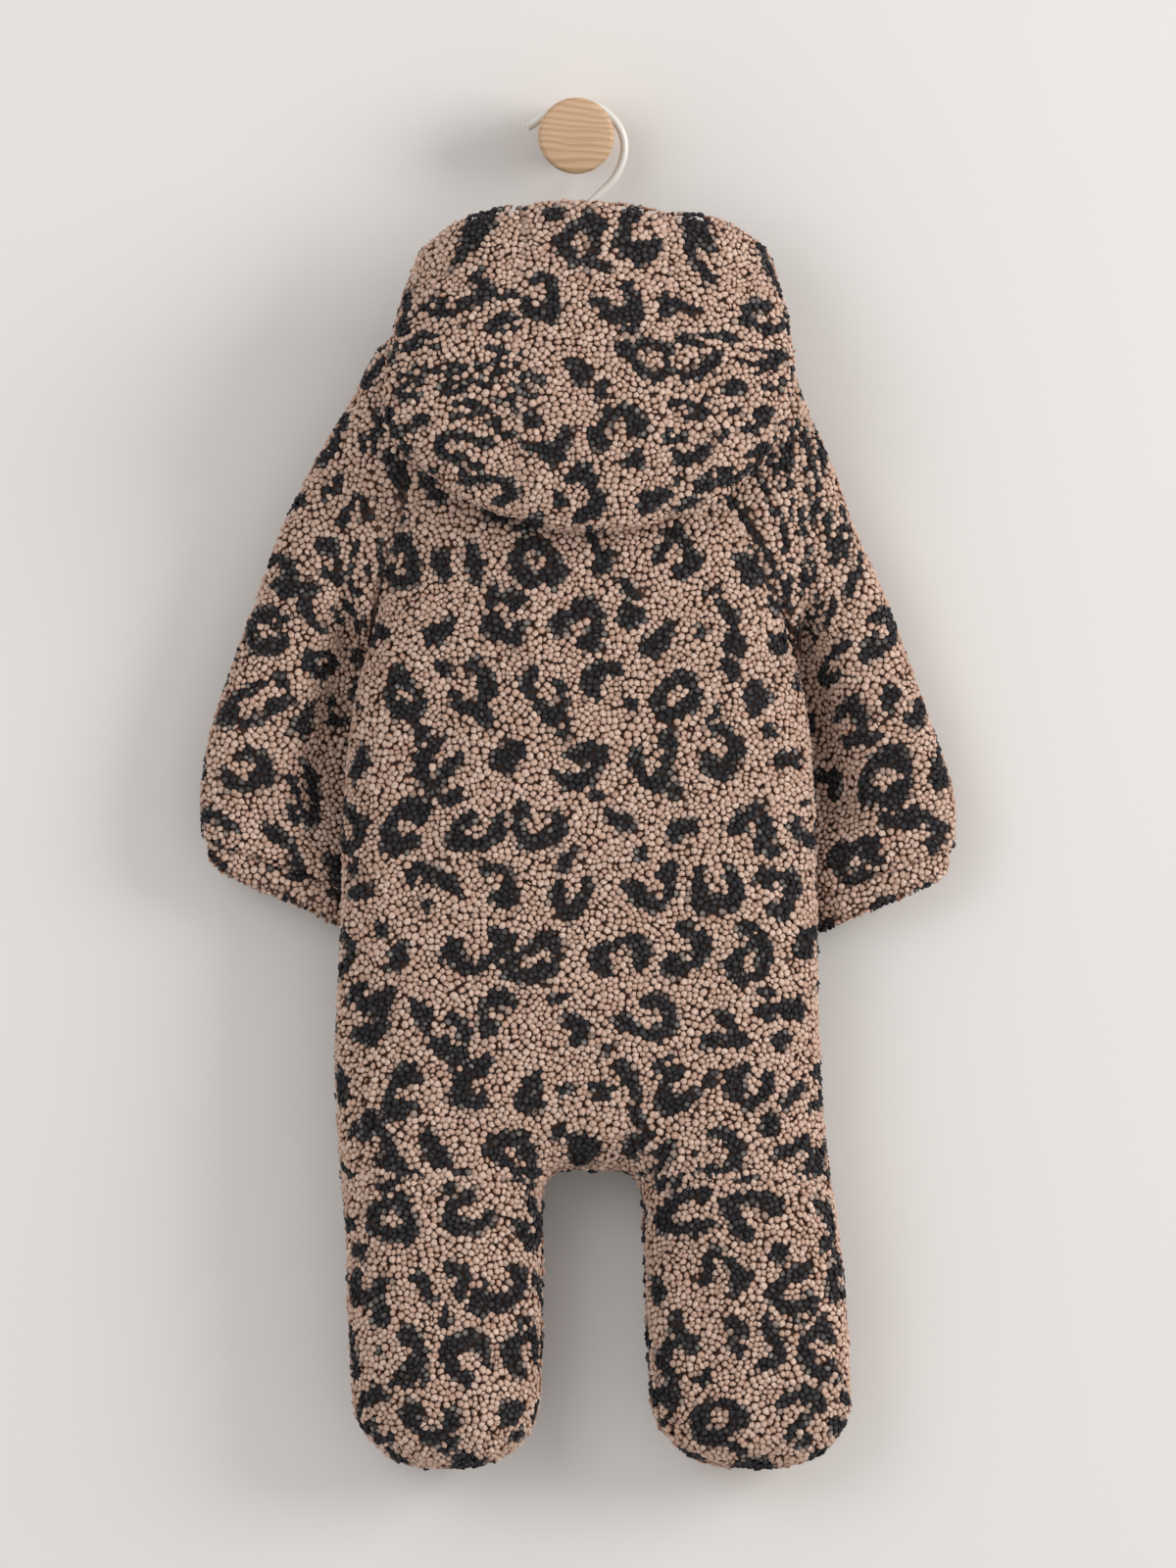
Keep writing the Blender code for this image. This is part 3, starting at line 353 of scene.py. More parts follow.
# The soft folds of the back (side -1) and front (side 1): a row runs from one point to another and is
# a trough where its height is negative
FOLD_COLUMNS = ("side", "from_x", "from_drop", "to_x", "to_drop", "width", "height")
FOLDS = (
    (-1, -40, 545, -36, 632, 11, -3.0),
    (-1, 60, 565, 72, 640, 11, -3.0),
    (-1, -14, 520, -62, 562, 9, 3.0),
    (-1, 74, 478, 44, 524, 9, 2.5),
    (-1, -72, 285, -84, 400, 12, -2.5),
    (-1, 52, 370, 62, 470, 12, -2.5),
    (-1, -18, 215, -30, 335, 14, 2.5),
    (-1, 84, 240, 98, 380, 11, 2.5),
    (1, -60, 260, -72, 400, 14, -2.5),
    (1, 70, 230, 84, 360, 14, -2.5),
    (1, -62, 545, -72, 630, 12, -3.0),
    (1, 84, 550, 78, 640, 12, -3.0),
    (1, 40, 505, 78, 548, 10, 2.5),
)
# Where the raglan seams start, bend and end, as x and drop
RAGLAN = {
    "left": ((-102, 246), (-91, 173), (-41, 100)),
    "right": ((106, 246), (70.5, 182), (53, 100)),
}
NAPE_DIP = 13 * MM
THROAT_DIP = 28 * MM
SHOULDER_RISE = 3 * MM
# Mesh fineness
BODY_COLS = 72
LEG_COLS = 29
RAGLAN_ROWS = 26
RAGLAN_CROWDING = 1.4
TRUNK_DROPS = np.linspace(254, 477, 31)
CROTCH_FAN = 50 * MM  # the rows above the crotch crowd towards it over this length
CROTCH_FAN_TURNS = np.linspace(10, 80, 8)
SPLIT_START = 380 * MM  # from here down the columns move towards the legs
LEG_DROPS = np.concatenate([[533.5, 536.5, 541], np.linspace(547, 645, 16)])
TOE_TURNS = np.linspace(9, 90, 10)


def ease(low, high, at):
    """0 below low, 1 above high, and a smooth step between them."""
    t = np.clip((at - low) / (high - low), 0, 1)
    return t * t * (3 - 2 * t)


def body_row(name, drop):
    """One of the body's measures at each drop: a smooth curve through its table's rows."""
    return smooth(column(BODY, BODY_COLUMNS, "drop"), column(BODY, BODY_COLUMNS, name), drop)


def gap_edge(name, drop):
    """x of the gap's left or right edge at each drop, in the same way."""
    return smooth(column(GAP, GAP_COLUMNS, "drop"), column(GAP, GAP_COLUMNS, name), drop)


def rounded(distance, reach):
    """0 at an edge, 1 from reach onwards, as a superellipse's squared height."""
    left = 1 - distance / reach
    return 1 - np.sign(left) * np.abs(np.clip(left, 0, None)) ** ROUNDNESS


def gap_distance(x, drop):
    """Distance to the gap between the legs, whose top corners are rounded."""
    aside = np.maximum(gap_edge("left", drop) - x, x - gap_edge("right", drop)) + CROTCH_CORNER
    above = CROTCH - drop + CROTCH_CORNER
    outside = np.hypot(np.maximum(aside, 0), np.maximum(above, 0))
    return outside + np.minimum(np.maximum(aside, above), 0) - CROTCH_CORNER


def squared_depth(x, drop):
    """Square of the distance from the body's middle plane to its surface."""
    left, right = body_row("left", drop), body_row("right", drop)
    half_body = (right - left) / 2
    half_left_leg = (gap_edge("left", drop) - left) / 2
    half_right_leg = (right - gap_edge("right", drop)) / 2
    legs = ease(LEG_START, CROTCH + CROTCH_CORNER, drop)
    half_leg = np.where(x < ZIP_X, half_left_leg, half_right_leg)
    from_left = rounded(x - left, half_body + (half_left_leg - half_body) * legs)
    from_right = rounded(right - x, half_body + (half_right_leg - half_body) * legs)
    from_gap = rounded(gap_distance(x, drop), half_leg)
    toe = np.clip((drop - FOOT_TOP) / FOOT_LENGTH, 0, None) ** 2
    return body_row("depth", drop) ** 2 * (from_left * from_right * from_gap - toe)


def fold_height(x, drop, side):
    """How far the folds lift the cloth: each is a bell across its line and fades at both ends."""
    lift = np.zeros_like(x)
    for row in FOLDS:
        if row[0] == side:
            fold = {name: value * MM for name, value in zip(FOLD_COLUMNS[1:], row[1:])}
            span_x, span_drop = fold["to_x"] - fold["from_x"], fold["to_drop"] - fold["from_drop"]
            length = math.hypot(span_x, span_drop)
            way_x, way_drop = span_x / length, span_drop / length
            from_x, from_drop = x - fold["from_x"], drop - fold["from_drop"]
            along = (from_x * way_x + from_drop * way_drop) / length
            aside = from_x * way_drop - from_drop * way_x
            fade = ease(-0.2, 0.3, along) * (1 - ease(0.7, 1.2, along))
            lift += fold["height"] * fade * np.exp(-(aside / fold["width"]) ** 2)
    return lift


def body_surface(x, drop, side):
    """The body's outer surface at side -1, the back, or +1, the front, and its normals: a flat tube of
    superelliptic sections which parts into two legs, with the folds added along the normals."""
    squared = np.clip(squared_depth(x, drop), 0, None)
    offset = side * np.sqrt(squared)
    points = np.stack([x, body_row("middle", drop) + offset, -drop], -1)
    tiny = 0.2 * MM
    across = (squared_depth(x + tiny, drop) - squared_depth(x - tiny, drop)) / (4 * tiny)
    down = (squared_depth(x, drop + tiny) - squared_depth(x, drop - tiny)) / (4 * tiny)
    normals = unit(np.stack([-across, offset, down], -1))
    shallow = ease(0, 0.5, np.abs(offset) / body_row("depth", drop))
    return points + normals * (fold_height(x, drop, side) * shallow)[..., None], normals


def raglan(side, share):
    """x and drop along a raglan seam, from the underarm (0) to the neck (1)."""
    start, bend, end = (np.array(p) * MM for p in RAGLAN[side])
    share = np.asarray(share, float)[..., None]
    curve = (1 - share) ** 2 * start + 2 * share * (1 - share) * bend + share ** 2 * end
    return curve[..., 0], curve[..., 1]


def raglan_shares():
    """Shares along a raglan seam: even steps raised to a power, so that they crowd at the underarm."""
    return np.linspace(0, 1, RAGLAN_ROWS + 1) ** RAGLAN_CROWDING


def even_turn(count):
    """Shares from -1 to 1 that crowd towards both ends, for a superellipse's columns."""
    turn = np.sin(np.linspace(-math.pi / 2, math.pi / 2, count + 1))
    return np.sign(turn) * np.abs(turn) ** (2 / ROUNDNESS)


def yoke_rows(dip):
    """x and drop of the rows between the raglan seams, from the neck down to the underarms."""
    shares = raglan_shares()[::-1]
    left_x, left_drop = raglan("left", shares)
    right_x, right_drop = raglan("right", shares)
    along = (even_turn(BODY_COLS) + 1) / 2
    x = left_x[:, None] + (right_x - left_x)[:, None] * along
    drop = left_drop[:, None] + (right_drop - left_drop)[:, None] * along
    sag = dip * (1 - (2 * along - 1) ** 2)
    return x, drop + sag * shares[:, None] ** 2


def split_columns(drop_leg, drop_gap):
    """x of the columns of a row at the crotch: left leg, gap and right leg."""
    left, right = body_row("left", drop_leg), body_row("right", drop_leg)
    sink = np.clip(CROTCH + CROTCH_CORNER - drop_gap, 0, CROTCH_CORNER)
    corner = CROTCH_CORNER - np.sqrt(CROTCH_CORNER ** 2 - sink ** 2)
    inner_left = gap_edge("left", drop_gap) + corner
    inner_right = gap_edge("right", drop_gap) - corner
    turn = (even_turn(LEG_COLS) + 1) / 2
    gap = np.linspace(0, 1, BODY_COLS - 2 * LEG_COLS + 1)[1:-1]
    return np.concatenate([
        left + (inner_left - left) * turn,
        inner_left + (inner_right - inner_left) * gap,
        inner_right + (right - inner_right) * turn,
    ])


def trunk_rows():
    """x and drop of the rows from below the underarms to the crotch."""
    corner_drop = CROTCH + CROTCH_CORNER * (1 - math.sqrt(0.5))
    lower = CROTCH - CROTCH_FAN * (1 - np.sin(np.radians(CROTCH_FAN_TURNS)))
    drops = np.concatenate([TRUNK_DROPS * MM, lower])
    at_crotch = split_columns(corner_drop, corner_drop)
    share = (even_turn(BODY_COLS) + 1) / 2
    left, right = body_row("left", drops)[:, None], body_row("right", drops)[:, None]
    x = left + (right - left) * share
    as_legs = left + (right - left) * (at_crotch - at_crotch[0]) / (at_crotch[-1] - at_crotch[0])
    legs = ease(SPLIT_START, CROTCH, drops)[:, None]
    x = x + (as_legs - x) * legs
    crotch_drop = np.full(BODY_COLS + 1, corner_drop)
    middle = slice(LEG_COLS, BODY_COLS - LEG_COLS + 1)
    between = at_crotch[middle]
    aside = np.minimum(between - gap_edge("left", CROTCH), gap_edge("right", CROTCH) - between)
    curved = np.clip(CROTCH_CORNER - aside, 0, CROTCH_CORNER)
    crotch_drop[middle] = CROTCH + CROTCH_CORNER - np.sqrt(CROTCH_CORNER ** 2 - curved ** 2)
    x = np.vstack([x, at_crotch])
    drop = np.vstack([np.repeat(drops[:, None], BODY_COLS + 1, 1), crotch_drop])
    return x, drop


def leg_columns(side):
    """The columns of the body's grid that run on down one leg."""
    return slice(0, LEG_COLS + 1) if side == "left" else slice(BODY_COLS - LEG_COLS, BODY_COLS + 1)


def leg_rows(side):
    """x and drop of one leg's rows, from below the crotch to the toe."""
    drops = LEG_DROPS * MM
    x = np.array([split_columns(d, d)[leg_columns(side)] for d in drops])
    drop = np.repeat(drops[:, None], LEG_COLS + 1, 1)
    p = np.sin(np.linspace(-math.pi / 2, math.pi / 2, LEG_COLS + 1))
    for q in np.sin(np.radians(TOE_TURNS)):
        across = p * math.sqrt(1 - q * q / 2)
        d = FOOT_TOP + FOOT_LENGTH * q * np.sqrt(1 - p * p / 2)
        outer = body_row(side, d)
        inner = gap_edge(side, d)
        low, high = np.minimum(outer, inner), np.maximum(outer, inner)
        s = np.sign(across) * np.abs(across) ** (2 / ROUNDNESS)
        x = np.vstack([x, (low + high) / 2 + (high - low) / 2 * s])
        drop = np.vstack([drop, d])
    return x, drop


def body_rows(dip):
    """The rows of the yoke and trunk, as one grid."""
    yoke_x, yoke_drop = yoke_rows(dip)
    trunk_x, trunk_drop = trunk_rows()
    return np.vstack([yoke_x, trunk_x]), np.vstack([yoke_drop, trunk_drop])


def with_leg(x, drop, side):
    """Crotch row of one leg, followed by the leg's own rows."""
    leg_x, leg_drop = leg_rows(side)
    columns = leg_columns(side)
    return np.vstack([x[-1:, columns], leg_x]), np.vstack([drop[-1:, columns], leg_drop])


def body_patch(x, drop, side):
    """A grid of the body's surface and its normals, moved half a seam away from the other side's."""
    points, normals = body_surface(x, drop, side)
    points[..., 1] += side * SEAM / 2
    return points, normals


def laid_flat(points):
    """Where each point of a grid lies on the flat cloth: its row's middle point, and from there the length
    along the row in the direction of the row's chord."""
    steps = np.linalg.norm(np.diff(points, axis=1), axis=-1)
    along = np.concatenate([np.zeros((len(points), 1)), np.cumsum(steps, 1)], 1)
    middle = points.shape[1] // 2
    chord = (points[:, -1] - points[:, 0])[:, (0, 2)]
    chord = np.where(np.linalg.norm(chord, axis=-1, keepdims=True) < 5 * MM, (1, 0), chord)
    reach = (along - along[:, middle:middle + 1])[..., None]
    return points[:, middle:middle + 1, (0, 2)] + unit(chord)[:, None] * reach


def closed_wall(name, patches, finish):
    """A closed wall of backing from patches of (outer points, inner points, whether rows are rings): both
    faces, and a strip along every edge that no other patch shares."""
    outer = np.vstack([patch[0].reshape(-1, 3) for patch in patches])
    inner = np.vstack([patch[1].reshape(-1, 3) for patch in patches])
    faces, start = [], 0
    for points, _, ring in patches:
        faces.append(grid_quads(*points.shape[:2], ring) + start)
        start += points.shape[0] * points.shape[1]
    faces = np.vstack(faces)
    keys = np.round(outer / (0.02 * MM)).astype(int)
    _, first, same = np.unique(keys, axis=0, return_index=True, return_inverse=True)
    outer, inner, faces = outer[first], inner[first], same.reshape(-1)[faces]
    corners = outer[faces]
    facing = np.cross(corners[:, 2] - corners[:, 0], corners[:, 3] - corners[:, 1])
    if (facing * (outer - inner)[faces[:, 0]]).sum() < 0:
        faces = faces[:, ::-1]
    edges = np.stack([faces, np.roll(faces, -1, 1)], -1).reshape(-1, 2)
    edges = edges[edges[:, 0] != edges[:, 1]]
    ends = np.sort(edges, 1)
    _, at, times = np.unique(ends, axis=0, return_index=True, return_counts=True)
    rim = edges[at[times == 1]]
    strip = np.stack([rim[:, 1], rim[:, 0], rim[:, 0] + len(outer), rim[:, 1] + len(outer)], -1)
    quads = np.vstack([faces, faces[:, ::-1] + len(outer), strip])
    return fill_mesh(name, np.vstack([outer, inner]), quads, finish)


SPOT_PITCH = (36.5, 33.5)  # mm from ring to ring, across and down
SPOT_GRID = 48  # rows and columns of spots before the print repeats
SPOT_SHAKE = 0.26  # of a pitch
SPOT_STRETCH = (0.80, 0.22)  # least, and how much chance adds
# Sizes in mm: the least, how much chance adds, and how high two and three waves around a spot swell it
RING_LINE = (8.2, 2.3, 1.0, 0.7)
RING_WIDTH = (4.1, 0.8, 0.9, 0.6)
SOLID_SIZE = (6.6, 2.4, 1.7, 1.1)
BLOB_SIZE = (3.8, 2.4, 1.0, 0.7)
SOLID_SHARE, BLOB_SHARE = 0.16, 0.5
RING_BREAKS = ((10, 11.0, 0.80), (11, 9.0, 0.42))  # which chance places a break, its depth in mm, how often
BREAK_TURN = (0.36, 0.30)  # radians: half its least opening, and how much chance adds
# How the print is bent, in mm: height and length of a long wave, and of a short one
BENT_ACROSS, BENT_DOWN = (1.8, 9.0, 0.8, 3.9), (1.5, 8.5, 0.8, 3.6)
PALE_GAP = 1.6  # mm that two spots keep apart
NO_SPOT, FAR_OUTSIDE = -9, -99.0  # mm


def swelling(sizes, chance, two_waves, three_waves):
    """The least size, more by chance, and both waves on top."""
    least, more, double, triple = sizes
    return least + more * chance + double * two_waves + triple * three_waves


def bent_by(waves, value, other, phase):
    """A coordinate moved by two sines of the other one."""
    high, long, low, short = waves
    return value + high * np.sin(other / long + phase) + low * np.sin(other / short)


def spot_depth(layer, x, y, c):
    """How far inside a spot's edge a place lies, from its way to the spot's middle and the spot's chances:
    the width less the distance from the ring's line, or from the middle of a blob or solid spot."""
    r, t = np.hypot(x, y), np.arctan2(y, x)
    two_waves = np.cos(2 * t + c[..., 4] * math.tau)
    three_waves = np.cos(3 * t + c[..., 5] * math.tau)
    if layer == "blob":
        size = swelling(BLOB_SIZE, c[..., 7], two_waves, three_waves)
        return np.where(c[..., 6] < BLOB_SHARE, size, NO_SPOT) - r
    solid = c[..., 6] < SOLID_SHARE
    line = np.where(solid, 0, swelling(RING_LINE, c[..., 7], two_waves, three_waves))
    width = swelling(RING_WIDTH, c[..., 8], np.cos(2 * t + c[..., 9] * math.tau), three_waves)
    for k, size, often in RING_BREAKS:
        off = np.abs((t - c[..., k] * math.tau + math.pi) % math.tau - math.pi)
        opening = BREAK_TURN[0] + BREAK_TURN[1] * c[..., 13]
        width = width - np.where(c[..., k] * 7 % 1 < often, size, 0) * np.exp(-(off / opening) ** 4)
    width = np.where(solid, swelling(SOLID_SIZE, c[..., 8], two_waves, three_waves), width)
    return width - np.abs(r - line)


def leopard(places, seed):
    """How far inside a spot's edge each place on the flat cloth lies, in mm. Around each point of a shaken
    grid runs a ring whose centre line and width swell and break with the angle, or sits a blob; smaller
    blobs fill the places between. Where two spots meet, the deeper one keeps the place and a pale gap is
    left between them."""
    chance = np.random.default_rng(seed).random((SPOT_GRID, SPOT_GRID, 16))
    flat_x, flat_drop = places[..., 0] / MM, -places[..., 1] / MM
    across = bent_by(BENT_ACROSS, flat_x, flat_drop, seed)
    down = bent_by(BENT_DOWN, flat_drop, flat_x, 2 * seed)
    inside = np.full(across.shape, FAR_OUTSIDE)
    second = np.full(across.shape, FAR_OUTSIDE)
    wide, tall = SPOT_PITCH
    for layer, row_step, col_step in itertools.product(("ring", "blob"), (-1, 0, 1), (-1, 0, 1)):
        between = 0.5 if layer == "blob" else 0.0
        i = np.floor(down / tall - between).astype(int) + row_step
        shift = (i % 2) * 0.5 + between * 0.6
        j = np.floor(across / wide - shift).astype(int) + col_step
        c = chance[i % SPOT_GRID, (j + (SPOT_GRID // 2 if layer == "blob" else 0)) % SPOT_GRID]
        x = across - (j + shift + 0.5 + (c[..., 0] - 0.5) * SPOT_SHAKE) * wide
        y = down - (i + between + 0.5 + (c[..., 1] - 0.5) * SPOT_SHAKE) * tall
        tilt = c[..., 2] * math.pi
        stretch = SPOT_STRETCH[0] + SPOT_STRETCH[1] * c[..., 3]
        tilted_x = (x * np.cos(tilt) + y * np.sin(tilt)) * stretch
        tilted_y = (y * np.cos(tilt) - x * np.sin(tilt)) / stretch
        depth = spot_depth(layer, tilted_x, tilted_y, c)
        second = np.maximum(second, np.minimum(inside, depth))
        inside = np.maximum(inside, depth)
    return inside - np.clip(second + PALE_GAP, 0, None)


PILE_SPACING = 2.35 * MM
PILE_PROUD = 0.9 * MM  # how far a middling curl stands out
PLACES_TRIED = 4.5  # for each place that the spacing would fill
APART = (0.78, 0.52, 1.4)  # a curl's own distance: the least share, how much chance adds, chance's exponent
# A curl of pile, as rings of (height, reach, how pale): it fills its place among its neighbours at the
# bottom and is a flat pebble above. How pale sets the painted shade in its crevice and the painted highlight
# on its tip
CURL_SIDES = 5
CURL = ((-0.80, 1.06, 0.0), (0.66, 0.95, 0.60))
CURL_BOTTOM = 0.9  # how deep its lowest point lies, as a share of half its height
CURL_HEIGHT = 0.52  # half of it, as a share of its mean reach
CURL_NEIGHBOURS = 9
CURL_REACHES = (0.36, 0.95)  # least and most, as shares of the spacing
CURL_AHEAD = 0.1  # a neighbour counts from this share of the spacing ahead
CURL_MIDDLING = 0.62  # mean reach of a curl that stands as proud as PILE_PROUD
CURL_SLOPE = 1.1  # how much prouder a wider curl stands
CURL_LEAN = 0.16  # how far its rings lean down the cloth, as a share of its mean reach
TIP_DOWN = 0.14  # how far its tip leans further
# How much chance changes a curl's tilt, its way down the cloth and its tip, then its rise in mm, and the
# shares of its reach and height
TILT_SPREAD, WAY_SPREAD, TIP_SPREAD = 0.29, 0.5, 0.24
RISE_SPREAD, REACH_SPREAD, HEIGHT_SPREAD = 0.24, 0.10, 0.12
EDGE_REACH = 5.0  # mm from a spot's edge over which the mark called ink runs to 1 or -1


def point_tree(points):
    """A tree that finds the points near a place."""
    tree = KDTree(len(points))
    for k, spot in enumerate(points):
        tree.insert(spot, k)
    tree.balance()
    return tree


def strew(patches, spacing, seed):
    """Places on patches of (points, normals, flat places): chances in proportion to each quad's area,
    thinned so that each keeps a distance of its own, near the spacing, from those that come after it."""
    chance = np.random.default_rng(seed)
    found = []
    for grids in patches:
        corners = [[grid[:-1, :-1], grid[:-1, 1:], grid[1:, :-1], grid[1:, 1:]] for grid in grids]
        p = corners[0]
        area = np.linalg.norm(np.cross(p[3] - p[0], p[2] - p[1]), axis=-1).ravel() / 2
        count = int(area.sum() / spacing ** 2 * PLACES_TRIED)
        quad = np.searchsorted(np.cumsum(area) / area.sum(), chance.random(count))
        s, t = chance.random((2, count, 1))
        shares = ((1 - s) * (1 - t), s * (1 - t), (1 - s) * t, s * t)
        found.append([
            sum(share * c.reshape(-1, c.shape[-1])[quad] for share, c in zip(shares, four))
            for four in corners
        ])
    places = [np.vstack(parts) for parts in zip(*found)]
    tree = point_tree(places[0])
    free = np.ones(len(places[0]), bool)
    least, more, exponent = APART
    apart = spacing * (least + more * chance.random(len(free)) ** exponent)
    kept = []
    for k in chance.permutation(len(free)):
        if free[k]:
            kept.append(k)
            free[[near[1] for near in tree.find_range(places[0][k], apart[k])]] = False
    return [part[kept] for part in places]


def neighbours(points, count):
    """Offsets from each point to its nearest others."""
    tree = point_tree(points)
    near = np.array([[found[1] for found in tree.find_n(spot, count + 1)] for spot in points])
    return points[near[:, 1:]] - points[:, None]


def pile(name, patches, seed, finish, spacing=PILE_SPACING):
    """Curls of pile on a panel, one closed mesh of a few faces each. A curl reaches halfway to its
    neighbours all round, and is tipped and leans down the cloth."""
    points, normals, flat = strew(patches, spacing, seed)
    chance = np.random.default_rng(seed + 1)
    count = len(points)
    normals = unit(unit(normals) + chance.normal(0, TILT_SPREAD, (count, 3)))
    falling = np.array([0, 0, -1.0]) + chance.normal(0, WAY_SPREAD, (count, 3))
    along = unit(falling - normals * (falling * normals).sum(-1, keepdims=True))
    beside = np.cross(normals, along)
    off = neighbours(points, CURL_NEIGHBOURS)
    off = off - normals[:, None] * (off * normals[:, None]).sum(-1, keepdims=True)
    squares = (off ** 2).sum(-1)
    closest = CURL_AHEAD * spacing
    least, most = (share * spacing for share in CURL_REACHES)
    reaches = []
    for step in range(2 * CURL_SIDES):
        turn = math.tau * step / (2 * CURL_SIDES)
        way = along * math.cos(turn) + beside * math.sin(turn)
        ahead = (off * way[:, None]).sum(-1)
        limit = np.where(ahead > closest, squares / (2 * np.maximum(ahead, closest)), spacing)
        reaches.append(np.clip(limit.min(1), least, most)[:, None])
    mean = np.mean(reaches, 0)
    high = mean * CURL_HEIGHT
    rise = PILE_PROUD + (mean - CURL_MIDDLING * spacing) * CURL_SLOPE
    rise = rise + chance.normal(0, RISE_SPREAD, (count, 1)) * MM
    tipped = along * chance.normal(TIP_DOWN, TIP_SPREAD, (count, 1))
    tipped = tipped + beside * chance.normal(0, TIP_SPREAD, (count, 1))
    centre = points + normals * (rise - high)
    rings = [centre - normals * high * CURL_BOTTOM]
    levels = [np.zeros(count)]
    for k, (height, reach, pale) in enumerate(CURL):
        for side in range(CURL_SIDES):
            step = 2 * side + k
            turn = math.tau * step / (2 * CURL_SIDES)
            out = reaches[step] * reach * (1 + chance.normal(0, REACH_SPREAD, (count, 1)))
            lean = along * (out * math.cos(turn) + mean * CURL_LEAN * height)
            uneven = high * (height + chance.normal(0, HEIGHT_SPREAD, (count, 1)))
            rings.append(centre + lean + beside * out * math.sin(turn) + normals * uneven)
            levels.append(np.full(count, pale))
    rings.append(centre + normals * high + tipped * mean)
    levels.append(np.ones(count))
    curls = np.stack(rings, 1)
    first, second, top = 1, 1 + CURL_SIDES, 1 + 2 * CURL_SIDES
    faces = []
    for side in range(CURL_SIDES):
        after = (side + 1) % CURL_SIDES
        faces += [(0, first + after, first + side), (first + side, first + after, second + side),
                  (first + after, second + after, second + side), (second + side, second + after, top)]
    faces = np.array(faces) + (np.arange(count) * curls.shape[1])[:, None, None]
    inside = leopard(flat, seed // 100)  # pieces of one panel share their hundreds, and so their print
    per_curl = curls.shape[1]
    marks = {
        "ink": np.repeat(np.clip(inside / EDGE_REACH, -1, 1), per_curl),
        # rise: 0 at a curl's bottom and 1 at its tip, the level for the painted shade and painted highlight
        "rise": np.stack(levels, 1).ravel(),
        "chance": np.repeat(chance.random(count), per_curl),
    }
    return fill_mesh(name, curls.reshape(-1, 3), faces.reshape(-1, 3), finish, **marks)


# Colours of the pale loops, whose tips carry a painted highlight, of the painted shade in the crevices
# between them and of the smudge along a spot's edge, then of the dark loops and of their tips, worn pale and
# with a painted highlight
CREAM_SHADE, CREAM_LIGHT, CREVICE_SHADE = (0.58, 0.345, 0.24), (0.97, 0.745, 0.625), (0.34, 0.135, 0.08)
SMUDGE = (0.20, 0.165, 0.145)
COAL_SHADE, COAL_LIGHT, COAL_FROST_AND_HIGHLIGHT = (0.006, 0.006, 0.009), (0.028, 0.027, 0.036), (0.42, 0.38, 0.34)
LOOP_RELIEF = 1.5 * MM
KNIT_SHADE, KNIT_LIGHT = (0.10, 0.055, 0.04), (0.20, 0.115, 0.085)
KNIT_RELIEF = 0.4 * MM

fleece = Finish("leopard_fleece", Sheen_Weight=0.04, Sheen_Roughness=0.5)
fleece.shader.inputs["Specular IOR Level"].default_value = 0.25
fleece.shader.inputs["Sheen Tint"].default_value = (0.95, 0.85, 0.78, 1)
ink, rise, chance = fleece.mark("ink"), fleece.mark("rise"), fleece.mark("chance")
second_chance = (chance * 7.3).fraction()
yarn = fleece.noise(750, None, 3)
# random tone of the pale curls, plus a painted highlight that makes each curl's top paler
pale = chance * 0.5 + yarn * 0.35 + rise.between(0.5, 1.0) * 0.2
cream = fleece.mix(pale, CREAM_SHADE, CREAM_LIGHT)
# painted shade: the crevice colour darkens each curl's lower part, where its neighbours shade it
cream = fleece.mix(rise.between(0.05, 0.58), CREVICE_SHADE, cream)
near_edge = 1 - ink.magnitude().between(0.08, 0.62)
cream = fleece.mix(near_edge * second_chance.between(0.45, 0.95) * 0.6, cream, SMUDGE)
coal = fleece.mix(chance * 0.4 + yarn * 0.6, COAL_SHADE, COAL_LIGHT)
# grey tips on the dark curls: frost on the yarn, strongest near a spot's edge, and a painted highlight on
# every curl's top
frost_and_highlight = rise.between(0.4, 1.0) * (0.05 + second_chance.between(0.35, 0.95) * (0.12 + near_edge * 0.75))
coal = fleece.mix(frost_and_highlight, coal, COAL_FROST_AND_HIGHLIGHT)
dark = (ink + (chance - 0.5) * 0.34 + (yarn - 0.5) * 0.2).between(-0.06, 0.06)
fleece.feed("Base Color", fleece.mix(dark, cream, coal))
fleece.feed("Roughness", 0.72 + yarn * 0.2)
fleece.bump(fleece.noise(900, None, 3, 0.8), LOOP_RELIEF)

backing_cloth = Finish("knitted_backing", Roughness=0.95, Sheen_Weight=0.15)
knit = backing_cloth.noise(1300, backing_cloth.place((1, 1, 0.5)), 2)
backing_cloth.feed("Base Color", backing_cloth.mix(knit, KNIT_SHADE, KNIT_LIGHT))
backing_cloth.bump(knit, KNIT_RELIEF)

TROUGH_DEPTH, TROUGH_REACH = 1.4 * MM, 4.5 * MM  # how the pile sinks towards a seam


def dress(backing, curls, node):
    """The backing stands for the panel's solid and its curls lie on it; both ride on the garment."""
    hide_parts(node)
    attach(backing, "garment")
    for part in curls:
        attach(part, "garment")


def backing_patch(points, normals, wall=CLOTH, ring=False):
    """A patch's backing, from under the curls to the wall's inner side."""
    return points - normals * BACKING * (wall / CLOTH), points - normals * wall, ring


def sunk(points, normals, edges, depth=TROUGH_DEPTH, reach=TROUGH_REACH):
    """A patch for the pile, with its places on the flat cloth: it sinks towards the seams at the named
    edges, as a bell of the distance along the row or column."""
    across, down = (np.linalg.norm(np.diff(points, axis=axis), axis=-1) for axis in (1, 0))
    across = np.concatenate([np.zeros((len(points), 1)), np.cumsum(across, 1)], 1)
    down = np.concatenate([np.zeros((1, points.shape[1])), np.cumsum(down, 0)])
    off = {"left": across, "right": across[:, -1:] - across, "top": down}
    near = np.minimum.reduce([off[edge] for edge in edges])
    return points - normals * (depth * np.exp(-(near / reach) ** 2))[..., None], normals, laid_flat(points)


def knitted(name, patches):
    """A panel's backing, as a closed wall in the knitted cloth's finish."""
    return closed_wall(name, patches, backing_cloth.made)


